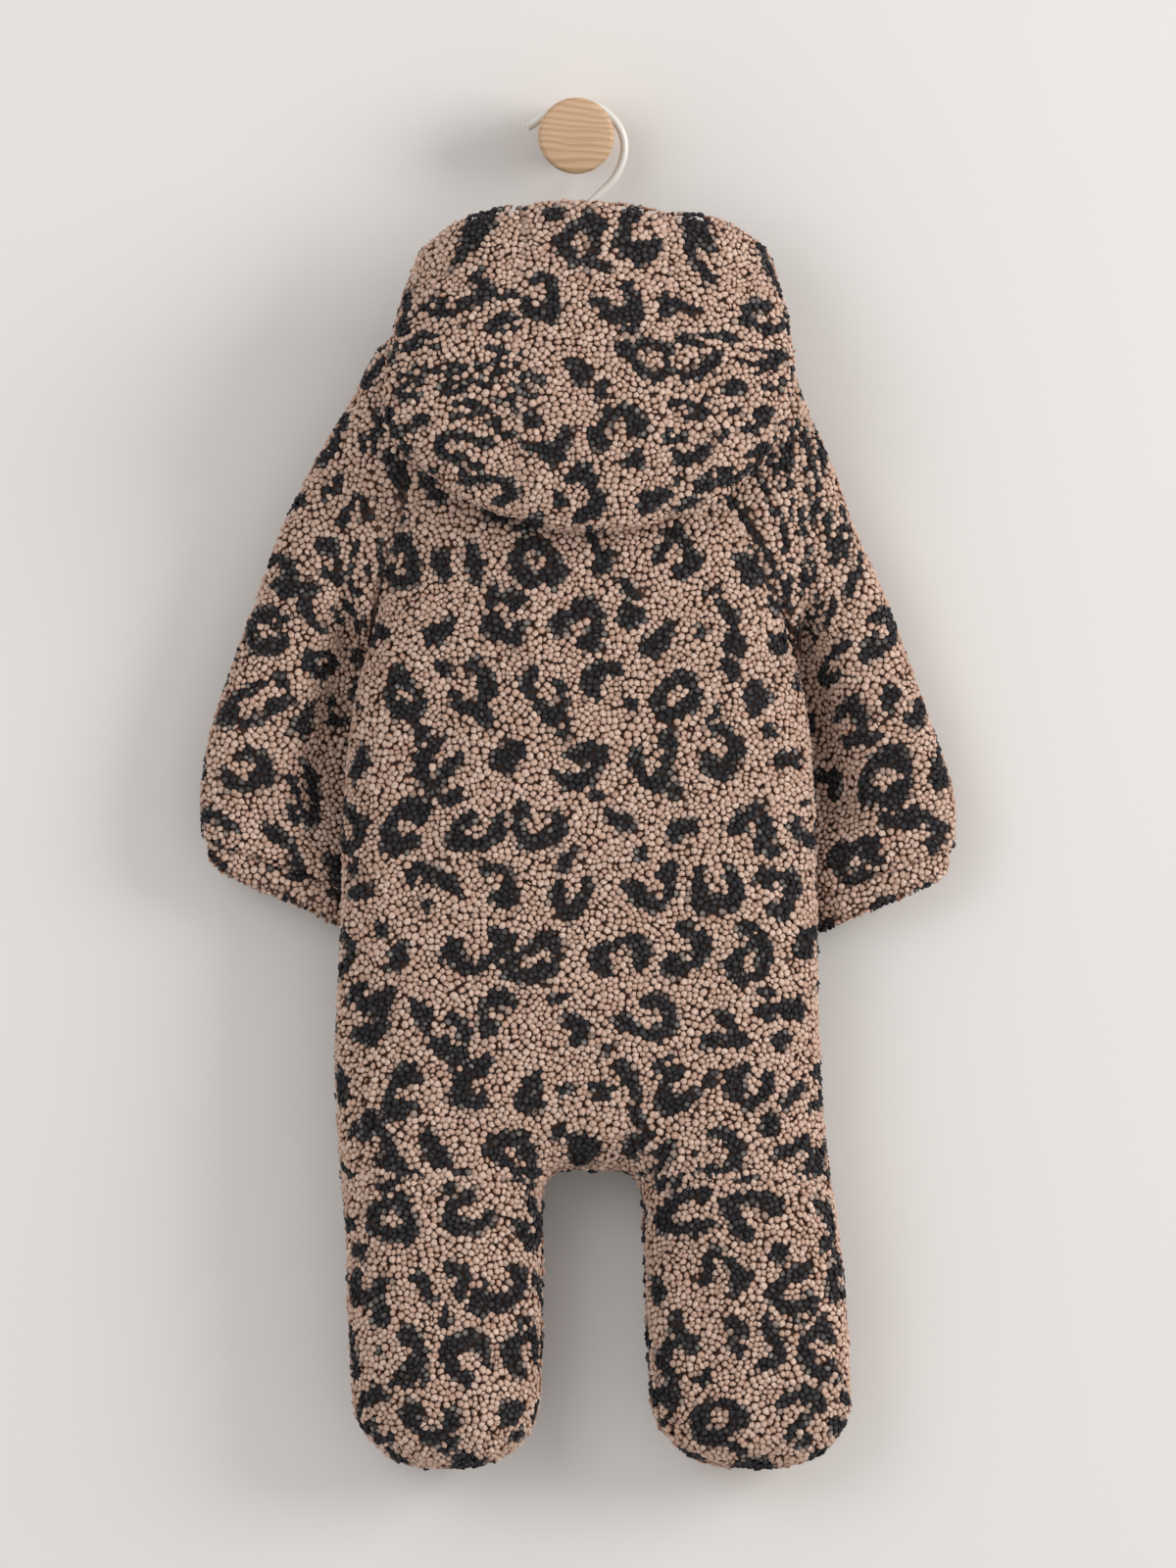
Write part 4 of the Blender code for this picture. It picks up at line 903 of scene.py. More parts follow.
x, drop = body_rows(NAPE_DIP)
back = [body_patch(x, drop, -1)]
back += [body_patch(*with_leg(x, drop, side), -1) for side in ("left", "right")]
for_pile = [sunk(*patch, ("left", "right")) for patch in back]
back_backing = knitted("back_backing", [backing_patch(*patch) for patch in back])
back_curls = [
    pile("back_body_pile", for_pile[:1], 301, fleece.made),
    pile("back_legs_pile", for_pile[1:], 302, fleece.made),
]
dress(back_backing, back_curls, "back_panel")

# ---------------------------------------------------------------- fronts
# Two fronts of the same fleece, each with the front of one leg. They meet at the zip, and below it in a
# centre seam.

ZIP_END = 440 * MM
ZIP_GAP = 4 * MM  # from its middle to each front's edge
ZIP_CLOSES = 7 * MM  # below its end the fronts come together over this length
PILE_CLEAR = 2.6 * MM  # from a front's edge to its first curls' middles
FRONT_SPACING = 3.0 * MM  # of its curls, which the photograph doesn't show


def front_patches(side, clear=0.0):
    """A front's patches: its body rows are drawn towards the zip's edge over their last columns."""
    x, drop = body_rows(THROAT_DIP)
    middle = BODY_COLS // 2
    sign = -1 if side == "left" else 1
    closing = (ZIP_END, ZIP_END + ZIP_CLOSES)
    edge = np.interp(drop[:, middle], closing, (ZIP_GAP + clear, SEAM / 2 + clear / 2))
    shift = ZIP_X + sign * edge - x[:, middle]
    near = np.clip(1 - np.abs(np.arange(BODY_COLS + 1) - middle) / (middle - LEG_COLS), 0, 1)
    x = x + shift[:, None] * near
    columns = slice(0, middle + 1) if side == "left" else slice(middle, BODY_COLS + 1)
    return [body_patch(x[:, columns], drop[:, columns], 1), body_patch(*with_leg(x, drop, side), 1)]


for side in ("left", "right"):
    backing = knitted(f"front_{side}_backing", [backing_patch(*patch) for patch in front_patches(side)])
    for_pile = [sunk(*patch, (side,)) for patch in front_patches(side, PILE_CLEAR)]
    curls = pile(f"front_{side}_pile", for_pile, 500 + ord(side[0]), fleece.made, FRONT_SPACING)
    dress(backing, [curls], f"front_{side}")

# ---------------------------------------------------------------- sleeves and cuffs
# Raglan sleeves, each in one piece with a seam under the arm. A second, narrower layer of the same fleece
# shows below each sleeve's end.

# The sleeves, a row for each section from the raglan seam to the wrist. Their inner edges hang behind the
# body's edges
SLEEVE_COLUMNS = ("inner_x", "inner_drop", "outer_x", "outer_drop", "inner_y", "outer_y", "depth", "free")
SLEEVES = {
    "left": (
        (-102, 246, -41, 100, -40, -40, 22, 0.0),
        (-104, 248.5, -70, 99, -39, -39.5, 21, 0.35),
        (-105.5, 252, -97, 107, -36, -38, 20.5, 0.7),
        (-105.5, 256.5, -114, 136, -31, -36.5, 20, 0.92),
        (-105.5, 262, -131, 164, -26.5, -34.5, 19.5, 1.0),
        (-105.5, 269, -148, 198, -22, -33, 19, 1.0),
        (-106, 279, -162, 235, -18.5, -31, 18.5, 1.0),
        (-107, 297, -175, 271, -16, -29.5, 18, 1.0),
        (-109, 326, -186, 305, -15, -28.5, 17, 1.0),
        (-110, 356, -190.5, 332, -15, -28, 17, 1.0),
        (-111, 384, -190.5, 356, -15.5, -27.5, 17, 1.0),
    ),
    "right": (
        (106, 246, 53, 100, -40, -40, 22, 0.0),
        (108, 248.5, 80, 99, -39, -39.5, 21, 0.35),
        (109.5, 252, 104, 109, -36, -38, 20.5, 0.7),
        (109.5, 256.5, 116, 138, -31, -36.5, 20, 0.92),
        (109.5, 262, 129, 167, -26.5, -34.5, 19.5, 1.0),
        (109.5, 269, 141, 200, -22, -33, 19, 1.0),
        (110, 279, 157, 236, -18.5, -31, 18.5, 1.0),
        (110.5, 297, 170, 272, -16, -29.5, 18, 1.0),
        (112, 326, 183, 308, -15, -28.5, 17, 1.0),
        (113, 358, 191.5, 335, -15, -28, 17, 1.0),
        (114, 388, 192.5, 361, -15.5, -27.5, 17, 1.0),
    ),
}
SLEEVE_ROUNDNESS = 2.2
HOLLOW = 1.0  # how much flatter a sleeve's back is beside the body
HOLLOW_REACH = (0.20, 0.52)  # where that ends, as shares of the sleeve's width
HOLLOW_STARTS, HOLLOW_ENDS = (3.8, 5.4), (8.4, 9.7)  # rows of the sleeve's table
UNDERARM_THINNING = 0.7
CAP_COLS = 9
SLEEVE_STEPS = 41
ARMHOLE_TROUGH, ARMHOLE_REACH = 2.2 * MM, 8 * MM  # how the pile sinks towards the raglan seam
# The cuff layer, a row for each ring: how far past the sleeve's end, and how far inside its surface
CUFF_COLUMNS = ("past", "inset")
CUFF = ((-14, 6.4), (-5, 6.2), (0.6, 6.0), (4, 4.0), (9, 3.2), (14, 4.2), (17, 6.5))
CUFF_WALL = 4 * MM
CUFF_STEPS = 19
CUFF_HIDDEN = 5  # rings inside the sleeve, without a pile
RIM_TURNS = (25, 50, 75, 100, 125)  # degrees, from the pile's side towards the inside


def ring_shares():
    """Where each of a sleeve ring's columns lies on the raglan seams and the neck edge."""
    up = raglan_shares()
    cap = np.linspace(-1, 1, CAP_COLS + 1)[1:-1]
    share = np.concatenate([up, np.ones(len(cap)), up[::-1][:-1]])
    across = np.concatenate([-np.ones(len(up)), cap, np.ones(len(up) - 1)])
    turn = np.concatenate([
        np.linspace(0, 150, len(up)),
        np.linspace(150, 210, CAP_COLS + 1)[1:-1],
        np.linspace(210, 360, len(up))[:-1],
    ])
    return share, across, np.radians(turn)


def power(values, exponent):
    """Each number's size raised to the exponent, with its sign kept."""
    return np.sign(values) * np.abs(values) ** exponent


def sleeve_surface(side, at):
    """Rings of a sleeve at the table rows at: a superellipse between its inner and outer edges, flatter
    beside the body, which turns into the closed line of both raglan seams as free goes to 0."""
    read = {n: by_row(SLEEVES[side], SLEEVE_COLUMNS, n, at)[:, None] for n in SLEEVE_COLUMNS}
    share, across, turn = ring_shares()
    seam_x, seam_drop = raglan(side, share)
    seam_depth = np.sqrt(np.clip(squared_depth(seam_x, seam_drop), 0, None)) * across
    seam_drop = seam_drop - SHOULDER_RISE * (1 - across ** 2)
    start, end = (np.array(RAGLAN[side][i]) * MM for i in (0, 2))
    chord = end - start
    length = math.hypot(*chord)
    off = np.stack([seam_x, seam_drop], -1) - start
    seam_along = off @ chord / length ** 2
    seam_aside = (off[:, 0] * chord[1] - off[:, 1] * chord[0]) / length
    free = np.clip(read["free"], 0, 1)
    along = seam_along + ((1 - power(np.cos(turn), 2 / SLEEVE_ROUNDNESS)) / 2 - seam_along) * free
    rows_at = np.asarray(at, float)[:, None]
    beside_body = (1 - ease(*HOLLOW_REACH, along)) * (np.sin(turn) > 0)
    beside_body = beside_body * ease(*HOLLOW_STARTS, rows_at) * (1 - ease(*HOLLOW_ENDS, rows_at))
    bulge = power(np.sin(turn), 2 / SLEEVE_ROUNDNESS) * read["depth"] * (1 - HOLLOW * beside_body)
    depth = seam_depth + (-bulge - seam_depth) * free
    aside = seam_aside * (1 - free)
    way_x = read["outer_x"] - read["inner_x"]
    way_drop = read["outer_drop"] - read["inner_drop"]
    reach = np.hypot(way_x, way_drop)
    x = read["inner_x"] + way_x * along + way_drop / reach * aside
    drop = read["inner_drop"] + way_drop * along - way_x / reach * aside
    middle = read["inner_y"] + (read["outer_y"] - read["inner_y"]) * along
    return np.stack([x, middle + depth, -drop], -1)


def ring_normals(side, at):
    """Outward normals of a sleeve's rings, which meet the body's own at the raglan seam."""
    tiny = 0.02
    down = sleeve_surface(side, at + tiny) - sleeve_surface(side, at - tiny)
    rings = sleeve_surface(side, at)
    around = np.roll(rings, -1, 1) - np.roll(rings, 1, 1)
    normals = unit(np.cross(around, down))
    outward = rings - rings.mean(1, keepdims=True)
    normals *= np.sign((normals * outward).sum((1, 2)))[:, None, None]
    share, across, turn = ring_shares()
    seam_x, seam_drop = raglan(side, share)
    back = body_surface(seam_x, seam_drop, -1)[1]
    front = body_surface(seam_x, seam_drop, 1)[1]
    seam = np.where(across[:, None] < 0, back, front)
    cap = np.abs(across) < 1
    seam[cap] = (0, 0, 1)
    agree = ease(0, 0.8, (normals * seam).sum(-1, keepdims=True))
    near = 1 - ease(0, 1.2, at)[:, None, None]
    return unit(normals + (seam - normals) * agree * near)


def sleeve_wall(at):
    """The wall is thinner where the two raglan seams meet under the arm."""
    share = ring_shares()[0]
    thin = (1 - ease(0, 2, at))[:, None] * (1 - ease(0, 0.35, share))
    return CLOTH * (1 - UNDERARM_THINNING * thin)[..., None]


def closed_ring(grid):
    """A ring's columns with the first repeated at the end."""
    return np.concatenate([grid, grid[:, :1]], 1)


def over_the_rim(points, normals, wall):
    """A patch with rows added around the wall's edge at its last row, as the pile rolls over a hem."""
    down = unit(points[-1] - points[-2])
    middle = points[-1] - normals[-1] * wall / 2
    turns = np.radians(RIM_TURNS)[:, None, None]
    around = normals[-1] * np.cos(turns) + down * np.sin(turns)
    return np.concatenate([points, middle + around * wall / 2]), np.concatenate([normals, around])


def add_sleeve(side):
    """A sleeve's rings from the raglan seam to its end, moved a seam's width away from the body."""
    last = len(SLEEVES[side]) - 1.0
    at = np.concatenate([[0, 0.25, 0.5, 0.75], np.linspace(1, last, SLEEVE_STEPS)])
    rings = sleeve_surface(side, at)
    rings[0] += unit(rings[2] - rings[0]) * SEAM
    normals = ring_normals(side, at)
    backing = knitted(f"sleeve_{side}_backing", [backing_patch(rings, normals, sleeve_wall(at), True)])
    rings, normals = over_the_rim(closed_ring(rings), closed_ring(normals), CLOTH)
    for_pile = [sunk(rings, normals, ("top",), ARMHOLE_TROUGH, ARMHOLE_REACH)]
    curls = pile(f"sleeve_{side}_pile", for_pile, 700 + ord(side[0]), fleece.made)
    dress(backing, [curls], f"sleeve_{side}")


def add_cuff(side):
    """The cuff's rings lie inside the sleeve's end and come out below it."""
    last = len(SLEEVES[side]) - 1.0
    step = sleeve_surface(side, np.array([last - 0.01, last + 0.01]))
    spacing = np.linalg.norm(step[1] - step[0], axis=-1).mean() / 0.02
    rows = np.linspace(0, len(CUFF) - 1, CUFF_STEPS)
    at = last + by_row(CUFF, CUFF_COLUMNS, "past", rows) / spacing
    normals = ring_normals(side, at)
    outer = sleeve_surface(side, at) - normals * by_row(CUFF, CUFF_COLUMNS, "inset", rows)[:, None, None]
    wall = [(outer - normals * CUFF_WALL / 2, outer - normals * CUFF_WALL, True)]
    backing = knitted(f"cuff_{side}_backing", wall)
    shown = slice(CUFF_HIDDEN, None)
    around, facing = over_the_rim(closed_ring(outer)[shown], closed_ring(normals)[shown], CUFF_WALL)
    for_pile = [(around, facing, laid_flat(around))]
    curls = pile(f"cuff_{side}_pile", for_pile, 800 + ord(side[0]), fleece.made)
    dress(backing, [curls], f"cuff_{side}")


for side in ("left", "right"):
    add_sleeve(side)
    add_cuff(side)

# ---------------------------------------------------------------- hood
# A hood of three panels, two sides and a centre strip, sewn to the neck. It hangs down behind, folded on
# itself, with its open mouth up.

# The hood, a row for each turn around the neck from the front left (-180) over the nape (0)
HOOD_COLUMNS = ("turn", "fold_x", "fold_y", "fold_drop", "bulge_x", "bulge_y", "bulge_drop",
                "rim_x", "rim_y", "rim_drop")
HOOD = (
    (-178, 1, -13.5, 121, 0, -13.5, 118, -1, -13, 112),
    (-135, -32, -16.5, 99, -35, -17, 94, -39, -16.5, 86),
    (-118, -44.5, -23.5, 87, -49, -25, 82, -60, -28, 75),
    (-98, -59, -42, 84, -76, -42, 76, -81, -41, 66),
    (-84, -82, -66, 99, -90, -60, 90, -80, -48, 61),
    (-70, -90, -77, 150, -97.5, -82, 131, -76, -57, 56),
    (-50, -64, -84, 179, -74, -98, 143, -57, -69, 43.5),
    (-25, -26, -86, 196, -29, -105, 150, -26, -77, 37),
    (0, 10, -86, 201, 9, -107, 152, 8, -80, 35.5),
    (25, 46, -86, 195, 48, -105, 148, 44, -77, 40),
    (50, 74, -84, 183, 86, -97, 138, 74, -69, 44.5),
    (70, 95, -77, 157, 110, -82, 125, 94, -57, 56),
    (84, 98, -66, 101, 106, -60, 90, 98, -48, 61),
    (98, 72, -42, 84, 92, -42, 76, 99, -41, 66),
    (118, 56.5, -23.5, 87, 61, -25, 82, 72, -28, 75),
    (135, 44, -16.5, 99, 47, -17, 94, 51, -16.5, 86),
    (178, 11, -13.5, 121, 12, -13.5, 118, 13, -13, 112),
)
HOOD_SIDE_TURNS = (178, 165, 150, 135, 126, 120, 110, 98, 86, 76, 68, 60, 48, 36, 25)
HOOD_STEPS = (0, 0.5, 1, 1.5, 2, 3, 3.6, 4, 4.33, 4.67, 5, 5.5, 6, 6.5, 7, 7.5, 8)
HOOD_ROWS, HOOD_SIDE_COLS, HOOD_CENTRE_COLS = 64, 62, 26
HOOD_CENTRE_TURN = 25  # degrees from the nape to each of the centre panel's seams
HOOD_HIDDEN = 2  # rows at the neck seam, without a pile
FOLD_RADIUS = 9.5 * MM
# The hood's way from the neck edge, in mm: over the seam, less far out at the front and higher behind
OVER_OUT, OVER_OUT_LESS, OVER_UP, OVER_UP_MORE = 3.5, 2.9, 4, 2
# Then beside the seam, or hanging down from it behind
HANG_OUT, HANG_OUT_MORE, HANG_OUT_LESS, HANG_UP, HANG_DOWN = 6, 3.5, 4.5, 9, 17
# Degrees from the nape over which the roll behind ends, the front begins and the collar shrinks to nothing
ROLL_ENDS, FRONT_STARTS, COLLAR_ENDS = (40, 95), (90, 118), (110, 178)
OVER_LEAST, HANG_LEAST = 0.3, 0.6  # shares of both steps' height that are left at the very front
SHOULDER_TURN, SHOULDER_SPREAD = 68, 16  # where the hood lies over the shoulders, and how wide
SHOULDER_OUT, SHOULDER_UP = 4, 7
UPPER_BULGE = 5
NECK_CORNER_TURN = 60  # degrees from the nape to the end of the back panel's neck edge


def neck_ring(turn):
    """The hood's neck edge at each turn in degrees: it stands on the body's and sleeves' edges."""
    corner = NECK_CORNER_TURN
    reach = np.abs(turn)
    g = np.where(reach < corner, turn / corner, np.sign(turn) * np.clip((180 - reach) / corner, 0, 1))
    left, right = RAGLAN["left"][2], RAGLAN["right"][2]
    x = (left[0] + (right[0] - left[0]) * (g + 1) / 2) * MM
    front = reach > 90
    dip = np.where(front, THROAT_DIP, NAPE_DIP) * (1 - g ** 2)
    dip = np.where((reach >= corner) & (reach <= 180 - corner), 0, dip)
    drop = left[1] * MM + dip
    depth = np.sqrt(np.clip(squared_depth(x, drop), 0, None))
    sweep = np.clip((reach - corner) / (180 - 2 * corner), 0, 1) * 2 - 1
    rise = SHOULDER_RISE * (1 - sweep ** 2)
    y = body_row("middle", drop) + depth * sweep
    return np.stack([x, y, -drop + rise + 2 * SEAM], -1)


def hood_surface(turn, at):
    """The hood's pile side: for each turn about the neck, a curve through the neck edge, the roll over it,
    the fold at the bottom, the bulge and the rim, with at running along it from 0 to 8."""
    turns = column(HOOD, HOOD_COLUMNS, "turn")
    spots = {}
    for spot in ("fold", "bulge", "rim"):
        values = [column(HOOD, HOOD_COLUMNS, f"{spot}_{axis}") for axis in ("x", "y", "drop")]
        x, y, drop = (smooth(turns, v, turn) for v in values)
        spots[spot] = np.stack([x, y, -drop], -1)
    neck = neck_ring(turn)
    out = np.stack([np.sin(np.radians(turn)), -np.cos(np.radians(turn)), np.zeros_like(turn)], -1)
    up = np.array([0, 0, 1.0])
    rolls = (1 - ease(*ROLL_ENDS, np.abs(turn)))[..., None]
    small = (1 - ease(*COLLAR_ENDS, np.abs(turn)))[..., None]
    front = ease(*FRONT_STARTS, np.abs(turn))[..., None]
    low = OVER_LEAST + (1 - OVER_LEAST) * small
    over = neck + out * (OVER_OUT - OVER_OUT_LESS * front) * MM * low
    over = over + up * (OVER_UP + OVER_UP_MORE * rolls) * MM * low
    hang = neck + out * (HANG_OUT + HANG_OUT_MORE * rolls - HANG_OUT_LESS * front) * MM * small
    hang = hang + up * (HANG_UP - HANG_DOWN * rolls) * MM * (HANG_LEAST + (1 - HANG_LEAST) * small)
    fold, bulge = spots["fold"], spots["bulge"]
    shoulder = np.exp(-((np.abs(turn) - SHOULDER_TURN) / SHOULDER_SPREAD) ** 2)[..., None]
    middle = (hang + fold) / 2 + (out * SHOULDER_OUT + up * SHOULDER_UP) * MM * shoulder
    near = fold + (middle - fold) * 0.25 * (1 - rolls) - (out * FOLD_RADIUS - up * FOLD_RADIUS / 2) * rolls
    far = fold + (bulge - fold) * 0.25 * (1 - rolls) + (out + up / 2) * FOLD_RADIUS * rolls
    upper = (bulge + spots["rim"]) / 2 + out * UPPER_BULGE * MM * rolls
    path = np.stack([neck, over, hang, middle, near, far, bulge, upper, spots["rim"]])
    return smooth(np.arange(len(path), dtype=float), path, at)


def between_rows(values, count):
    """A list of numbers read at more, evenly shared places."""
    return np.interp(np.linspace(0, len(values) - 1, count), np.arange(len(values)), values)


def add_hood_panel(name, turns, seed):
    """A panel of the hood between its first and last turn, half a seam in from each of its neighbours. Its
    normals are square to the surface's two directions, and level along the neck edge."""
    steps = between_rows(HOOD_STEPS, HOOD_ROWS)
    points = hood_surface(turns, steps)
    around = hood_surface(turns + 0.5, steps) - hood_surface(turns - 0.5, steps)
    along = hood_surface(turns, steps + 0.01) - hood_surface(turns, steps - 0.01)
    normals = unit(np.cross(around, along))
    normals[0, :, 2] = 0
    normals = unit(normals)
    sideways = unit(around) * SEAM / 2
    points[:, 0] += sideways[:, 0]
    points[:, -1] -= sideways[:, -1]
    backing = knitted(f"{name}_backing", [backing_patch(points, normals)])
    points, normals = (grid[HOOD_HIDDEN:] for grid in over_the_rim(points, normals, CLOTH))
    curls = pile(f"{name}_pile", [sunk(points, normals, ("left", "right"))], seed, fleece.made)
    dress(backing, [curls], name)


side_turns = between_rows(HOOD_SIDE_TURNS, HOOD_SIDE_COLS)
centre_turns = np.linspace(-HOOD_CENTRE_TURN, HOOD_CENTRE_TURN, HOOD_CENTRE_COLS)
add_hood_panel("hood_left", -side_turns, 901)
add_hood_panel("hood_centre", centre_turns, 902)
add_hood_panel("hood_right", side_turns[::-1], 903)

# ---------------------------------------------------------------- zip
# A metal zip on a woven tape, sewn behind the fronts' edges from the throat to the lower belly.

ZIP_TAPE = 11 * MM  # half width of the tape
ZIP_TEETH = 2.6 * MM  # half width of the raised strip that carries the teeth
ZIP_CORD = 0.4 * MM  # half width of its middle
TEETH_BED = 0.9 * MM  # how far the strip is raised
TAPE_THICKNESS = 1 * MM
TAPE_STEPS = 90
TAPE_ABOVE_THROAT, TAPE_ABOVE_END = 3 * MM, 2 * MM
TEETH_BELOW_TOP, TEETH_ABOVE_END = 1.5 * MM, 4 * MM
TOOTH_PITCH = 1.25 * MM
TOOTH = (1.55 * MM, 0.5 * MM, 1.0 * MM)  # half its width, half its height and how far it stands proud
TOOTH_ASIDE = 0.75 * MM  # from the zip's middle
TOOTH_CORNER = 0.18 * MM
TOOTH_ROOT, TOOTH_EDGE, TOOTH_TOP = 0.2 * MM, 0.3 * MM, 0.72  # sunk, rounded over, and its top's share
THREAD_TURN = 9000  # radians of the weave's ribs for each metre
ACROSS = np.array([1.0, 0, 0])
TAPE_SHADE, TAPE_LIGHT = (0.035, 0.03, 0.03), (0.085, 0.072, 0.068)
NICKEL_SHADE, NICKEL_LIGHT = (0.50, 0.48, 0.45), (0.66, 0.64, 0.60)

zip_cloth = Finish("zip_tape_weave", Roughness=0.85, Sheen_Weight=0.1)
where = zip_cloth.node("ShaderNodeSeparateXYZ", {}, {0: zip_cloth.place()})
rib = (Value(zip_cloth, where.outputs[2]) * THREAD_TURN).sine()
fibre = zip_cloth.noise(2200)
zip_cloth.feed("Base Color", zip_cloth.mix(rib * 0.3 + fibre * 0.6, TAPE_SHADE, TAPE_LIGHT))
zip_cloth.bump(rib * 0.5 + fibre, 0.25 * MM)
nickel = Finish("satin_nickel", Roughness=0.3, Metallic=1.0)
wear = nickel.noise(500)
scratch = nickel.noise(1500, nickel.place((1, 1, 0.1)), 3)
nickel.feed("Base Color", nickel.mix(wear, NICKEL_SHADE, NICKEL_LIGHT))
nickel.feed("Roughness", 0.22 + wear * 0.14 + scratch * 0.16)
nickel.bump(scratch, 0.04 * MM)


def zip_line(drops):
    """Points and normals down the middle of the front, where the zip lies."""
    return body_surface(np.full(len(drops), ZIP_X), drops, 1)


def lofted(name, rings, finish):
    """A closed solid through rings of equally many points, with both ends filled."""
    block = bmesh.new()
    rows = [[block.verts.new(point) for point in ring] for ring in rings]
    for upper, lower in zip(rows, rows[1:]):
        for i in range(len(upper)):
            j = (i + 1) % len(upper)
            block.faces.new((upper[i], upper[j], lower[j], lower[i]))
    for end in (rows[0], rows[-1]):
        block.faces.new(end)
    bmesh.ops.recalc_face_normals(block, faces=block.faces)
    bmesh.ops.triangulate(block, faces=block.faces)
    mesh = bpy.data.meshes.new(name)
    block.to_mesh(mesh)
    block.free()
    mesh.shade_smooth()
    mesh.set_sharp_from_angle(angle=math.radians(32))
    mesh.materials.append(finish)
    thing = bpy.data.objects.new(name, mesh)
    bpy.context.scene.collection.objects.link(thing)
    return thing


def bevelled(corners, edge):
    """An outline with each corner cut by two points."""
    corners = np.array(corners, float)
    ahead = unit(np.roll(corners, -1, 0) - corners)
    behind = unit(np.roll(corners, 1, 0) - corners)
    return np.stack([corners + behind * edge, corners + ahead * edge], 1).reshape(-1, 2)


top = RAGLAN["left"][2][1] * MM + THROAT_DIP + TAPE_ABOVE_THROAT
points, normals = zip_line(np.linspace(top, ZIP_END - TAPE_ABOVE_END, TAPE_STEPS))
below = CLOTH + 2 * SEAM
bed = below - TEETH_BED
right_half = [(ZIP_CORD, bed), (ZIP_TEETH, bed), (ZIP_TEETH, below), (ZIP_TAPE, below)]
left_half = [(-x, depth) for x, depth in reversed(right_half)]
underside = [(ZIP_TAPE, below + TAPE_THICKNESS), (-ZIP_TAPE, below + TAPE_THICKNESS)]
profile = np.array(left_half + right_half + underside)
rings = points[:, None] + ACROSS * profile[None, :, :1] - normals[:, None] * profile[None, :, 1:]
tape = lofted("woven_tape", rings, zip_cloth.made)
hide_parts("zip_tape")
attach(tape, "garment")

# the teeth: a bevelled block each, turn about from either side of the middle, lying across it
drops = np.arange(top + TEETH_BELOW_TOP, ZIP_END - TEETH_ABOVE_END, TOOTH_PITCH)
points, normals = zip_line(drops)
down = unit(np.gradient(points, axis=0))
sides = np.where(np.arange(len(drops)) % 2, 1.0, -1.0)[:, None]
wide, high, proud = TOOTH
centre = points - normals * bed + ACROSS * sides * TOOTH_ASIDE
tooth_outline = bevelled([(-wide, -high), (wide, -high), (wide, high), (-wide, high)], TOOTH_CORNER)
layers = []
for out, shrink in ((-TOOTH_ROOT, 1.0), (proud - TOOTH_EDGE, 1.0), (proud, TOOTH_TOP)):
    for along_x, along_z in tooth_outline:
        layers.append(centre + ACROSS * along_x * shrink + down * along_z * shrink + normals * out)
teeth_points = np.stack(layers, 1)
per = teeth_points.shape[1]
around = grid_quads(3, 8, True)
root = np.array([[7, 6, 5, 4], [7, 4, 3, 0], [0, 3, 2, 1]])
tip = np.array([[16, 17, 18, 19], [16, 19, 20, 23], [23, 20, 21, 22]])
one = np.vstack([around, root, tip])
faces = (one + (np.arange(len(drops)) * per)[:, None, None]).reshape(-1, 4)
corner = teeth_points[0][one[0]]
outward = corner.mean(0) - teeth_points[0].mean(0)
if np.cross(corner[1] - corner[0], corner[2] - corner[0]) @ outward < 0:
    faces = faces[:, ::-1]
teeth = fill_mesh("metal_teeth", teeth_points.reshape(-1, 3), faces, nickel.made)
teeth.data.set_sharp_from_angle(angle=math.radians(30))
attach(teeth, "garment")

# the slider: a channel between two ears that hold the pull's barrel, with every edge softened and its
# lower end drawn in
PULL_Y = -9.3 * MM
PULL_DROP = 138 * MM  # the pull's hinge
PULL_BARREL = 1.3 * MM
SLIDER_THICKNESS = 5.9 * MM
SLIDER_ABOVE, SLIDER_BELOW = 3 * MM, 6 * MM  # from the hinge
SLIDER_WAIST = -2 * MM
SLIDER_EAR = 1.3 * MM
SLIDER_EDGE = 0.35 * MM
# The slider's sections, a row each: how far above the hinge, and how much of its width is left
SLIDER_RINGS = (
    (SLIDER_ABOVE, 0.94),
    (SLIDER_ABOVE - SLIDER_EDGE, 1.0),
    (SLIDER_WAIST, 1.0),
    (SLIDER_EDGE - SLIDER_BELOW, 0.86),
    (-SLIDER_BELOW, 0.80),
)
half = ZIP_GAP - SEAM
ear = half - SLIDER_EAR
low, floor, high = PULL_Y - SLIDER_THICKNESS, PULL_Y - PULL_BARREL - SEAM, PULL_Y + PULL_BARREL
outline = bevelled([(-half, low), (half, low), (half, high), (ear, high), (ear, floor), (-ear, floor),
                    (-ear, high), (-half, high)], SLIDER_EDGE)
outer_side = np.abs(outline[:, 0]) > ear + 0.1 * MM
rings = []
for off, draw in SLIDER_RINGS:
    rings.append([(ZIP_X + x * (draw if drawn else 1), y, off - PULL_DROP)
                  for (x, y), drawn in zip(outline, outer_side)])
slider = lofted("cast_slider", rings, nickel.made)
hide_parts("zip_slider")
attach(slider, "garment")

# the pull: a barrel between the slider's ears and a flat tab with rounded edges and a slot near its tip
PULL_LENGTH = 24 * MM
PULL_BACK, PULL_FRONT = -0.8 * MM, 0.7 * MM  # the tab's faces, from the hinge
PULL_EDGE = 0.2 * MM
PULL_SIDES = 48
SLOT_HALVES, SLOT_ABOVE_TIP = (0.9 * MM, 2.6 * MM), 4.6 * MM
TAB_ROUNDNESS, SLOT_ROUNDNESS = 7, 3


def oval(half_x, half_z, middle_z, y, roundness):
    """Points round a superellipse that stands upright at one depth."""
    turn = np.linspace(0, math.tau, PULL_SIDES, endpoint=False)
    x = half_x * power(np.cos(turn), 2 / roundness)
    z = half_z * power(np.sin(turn), 2 / roundness) + middle_z
    return np.stack([x, np.full_like(x, y), z], -1)


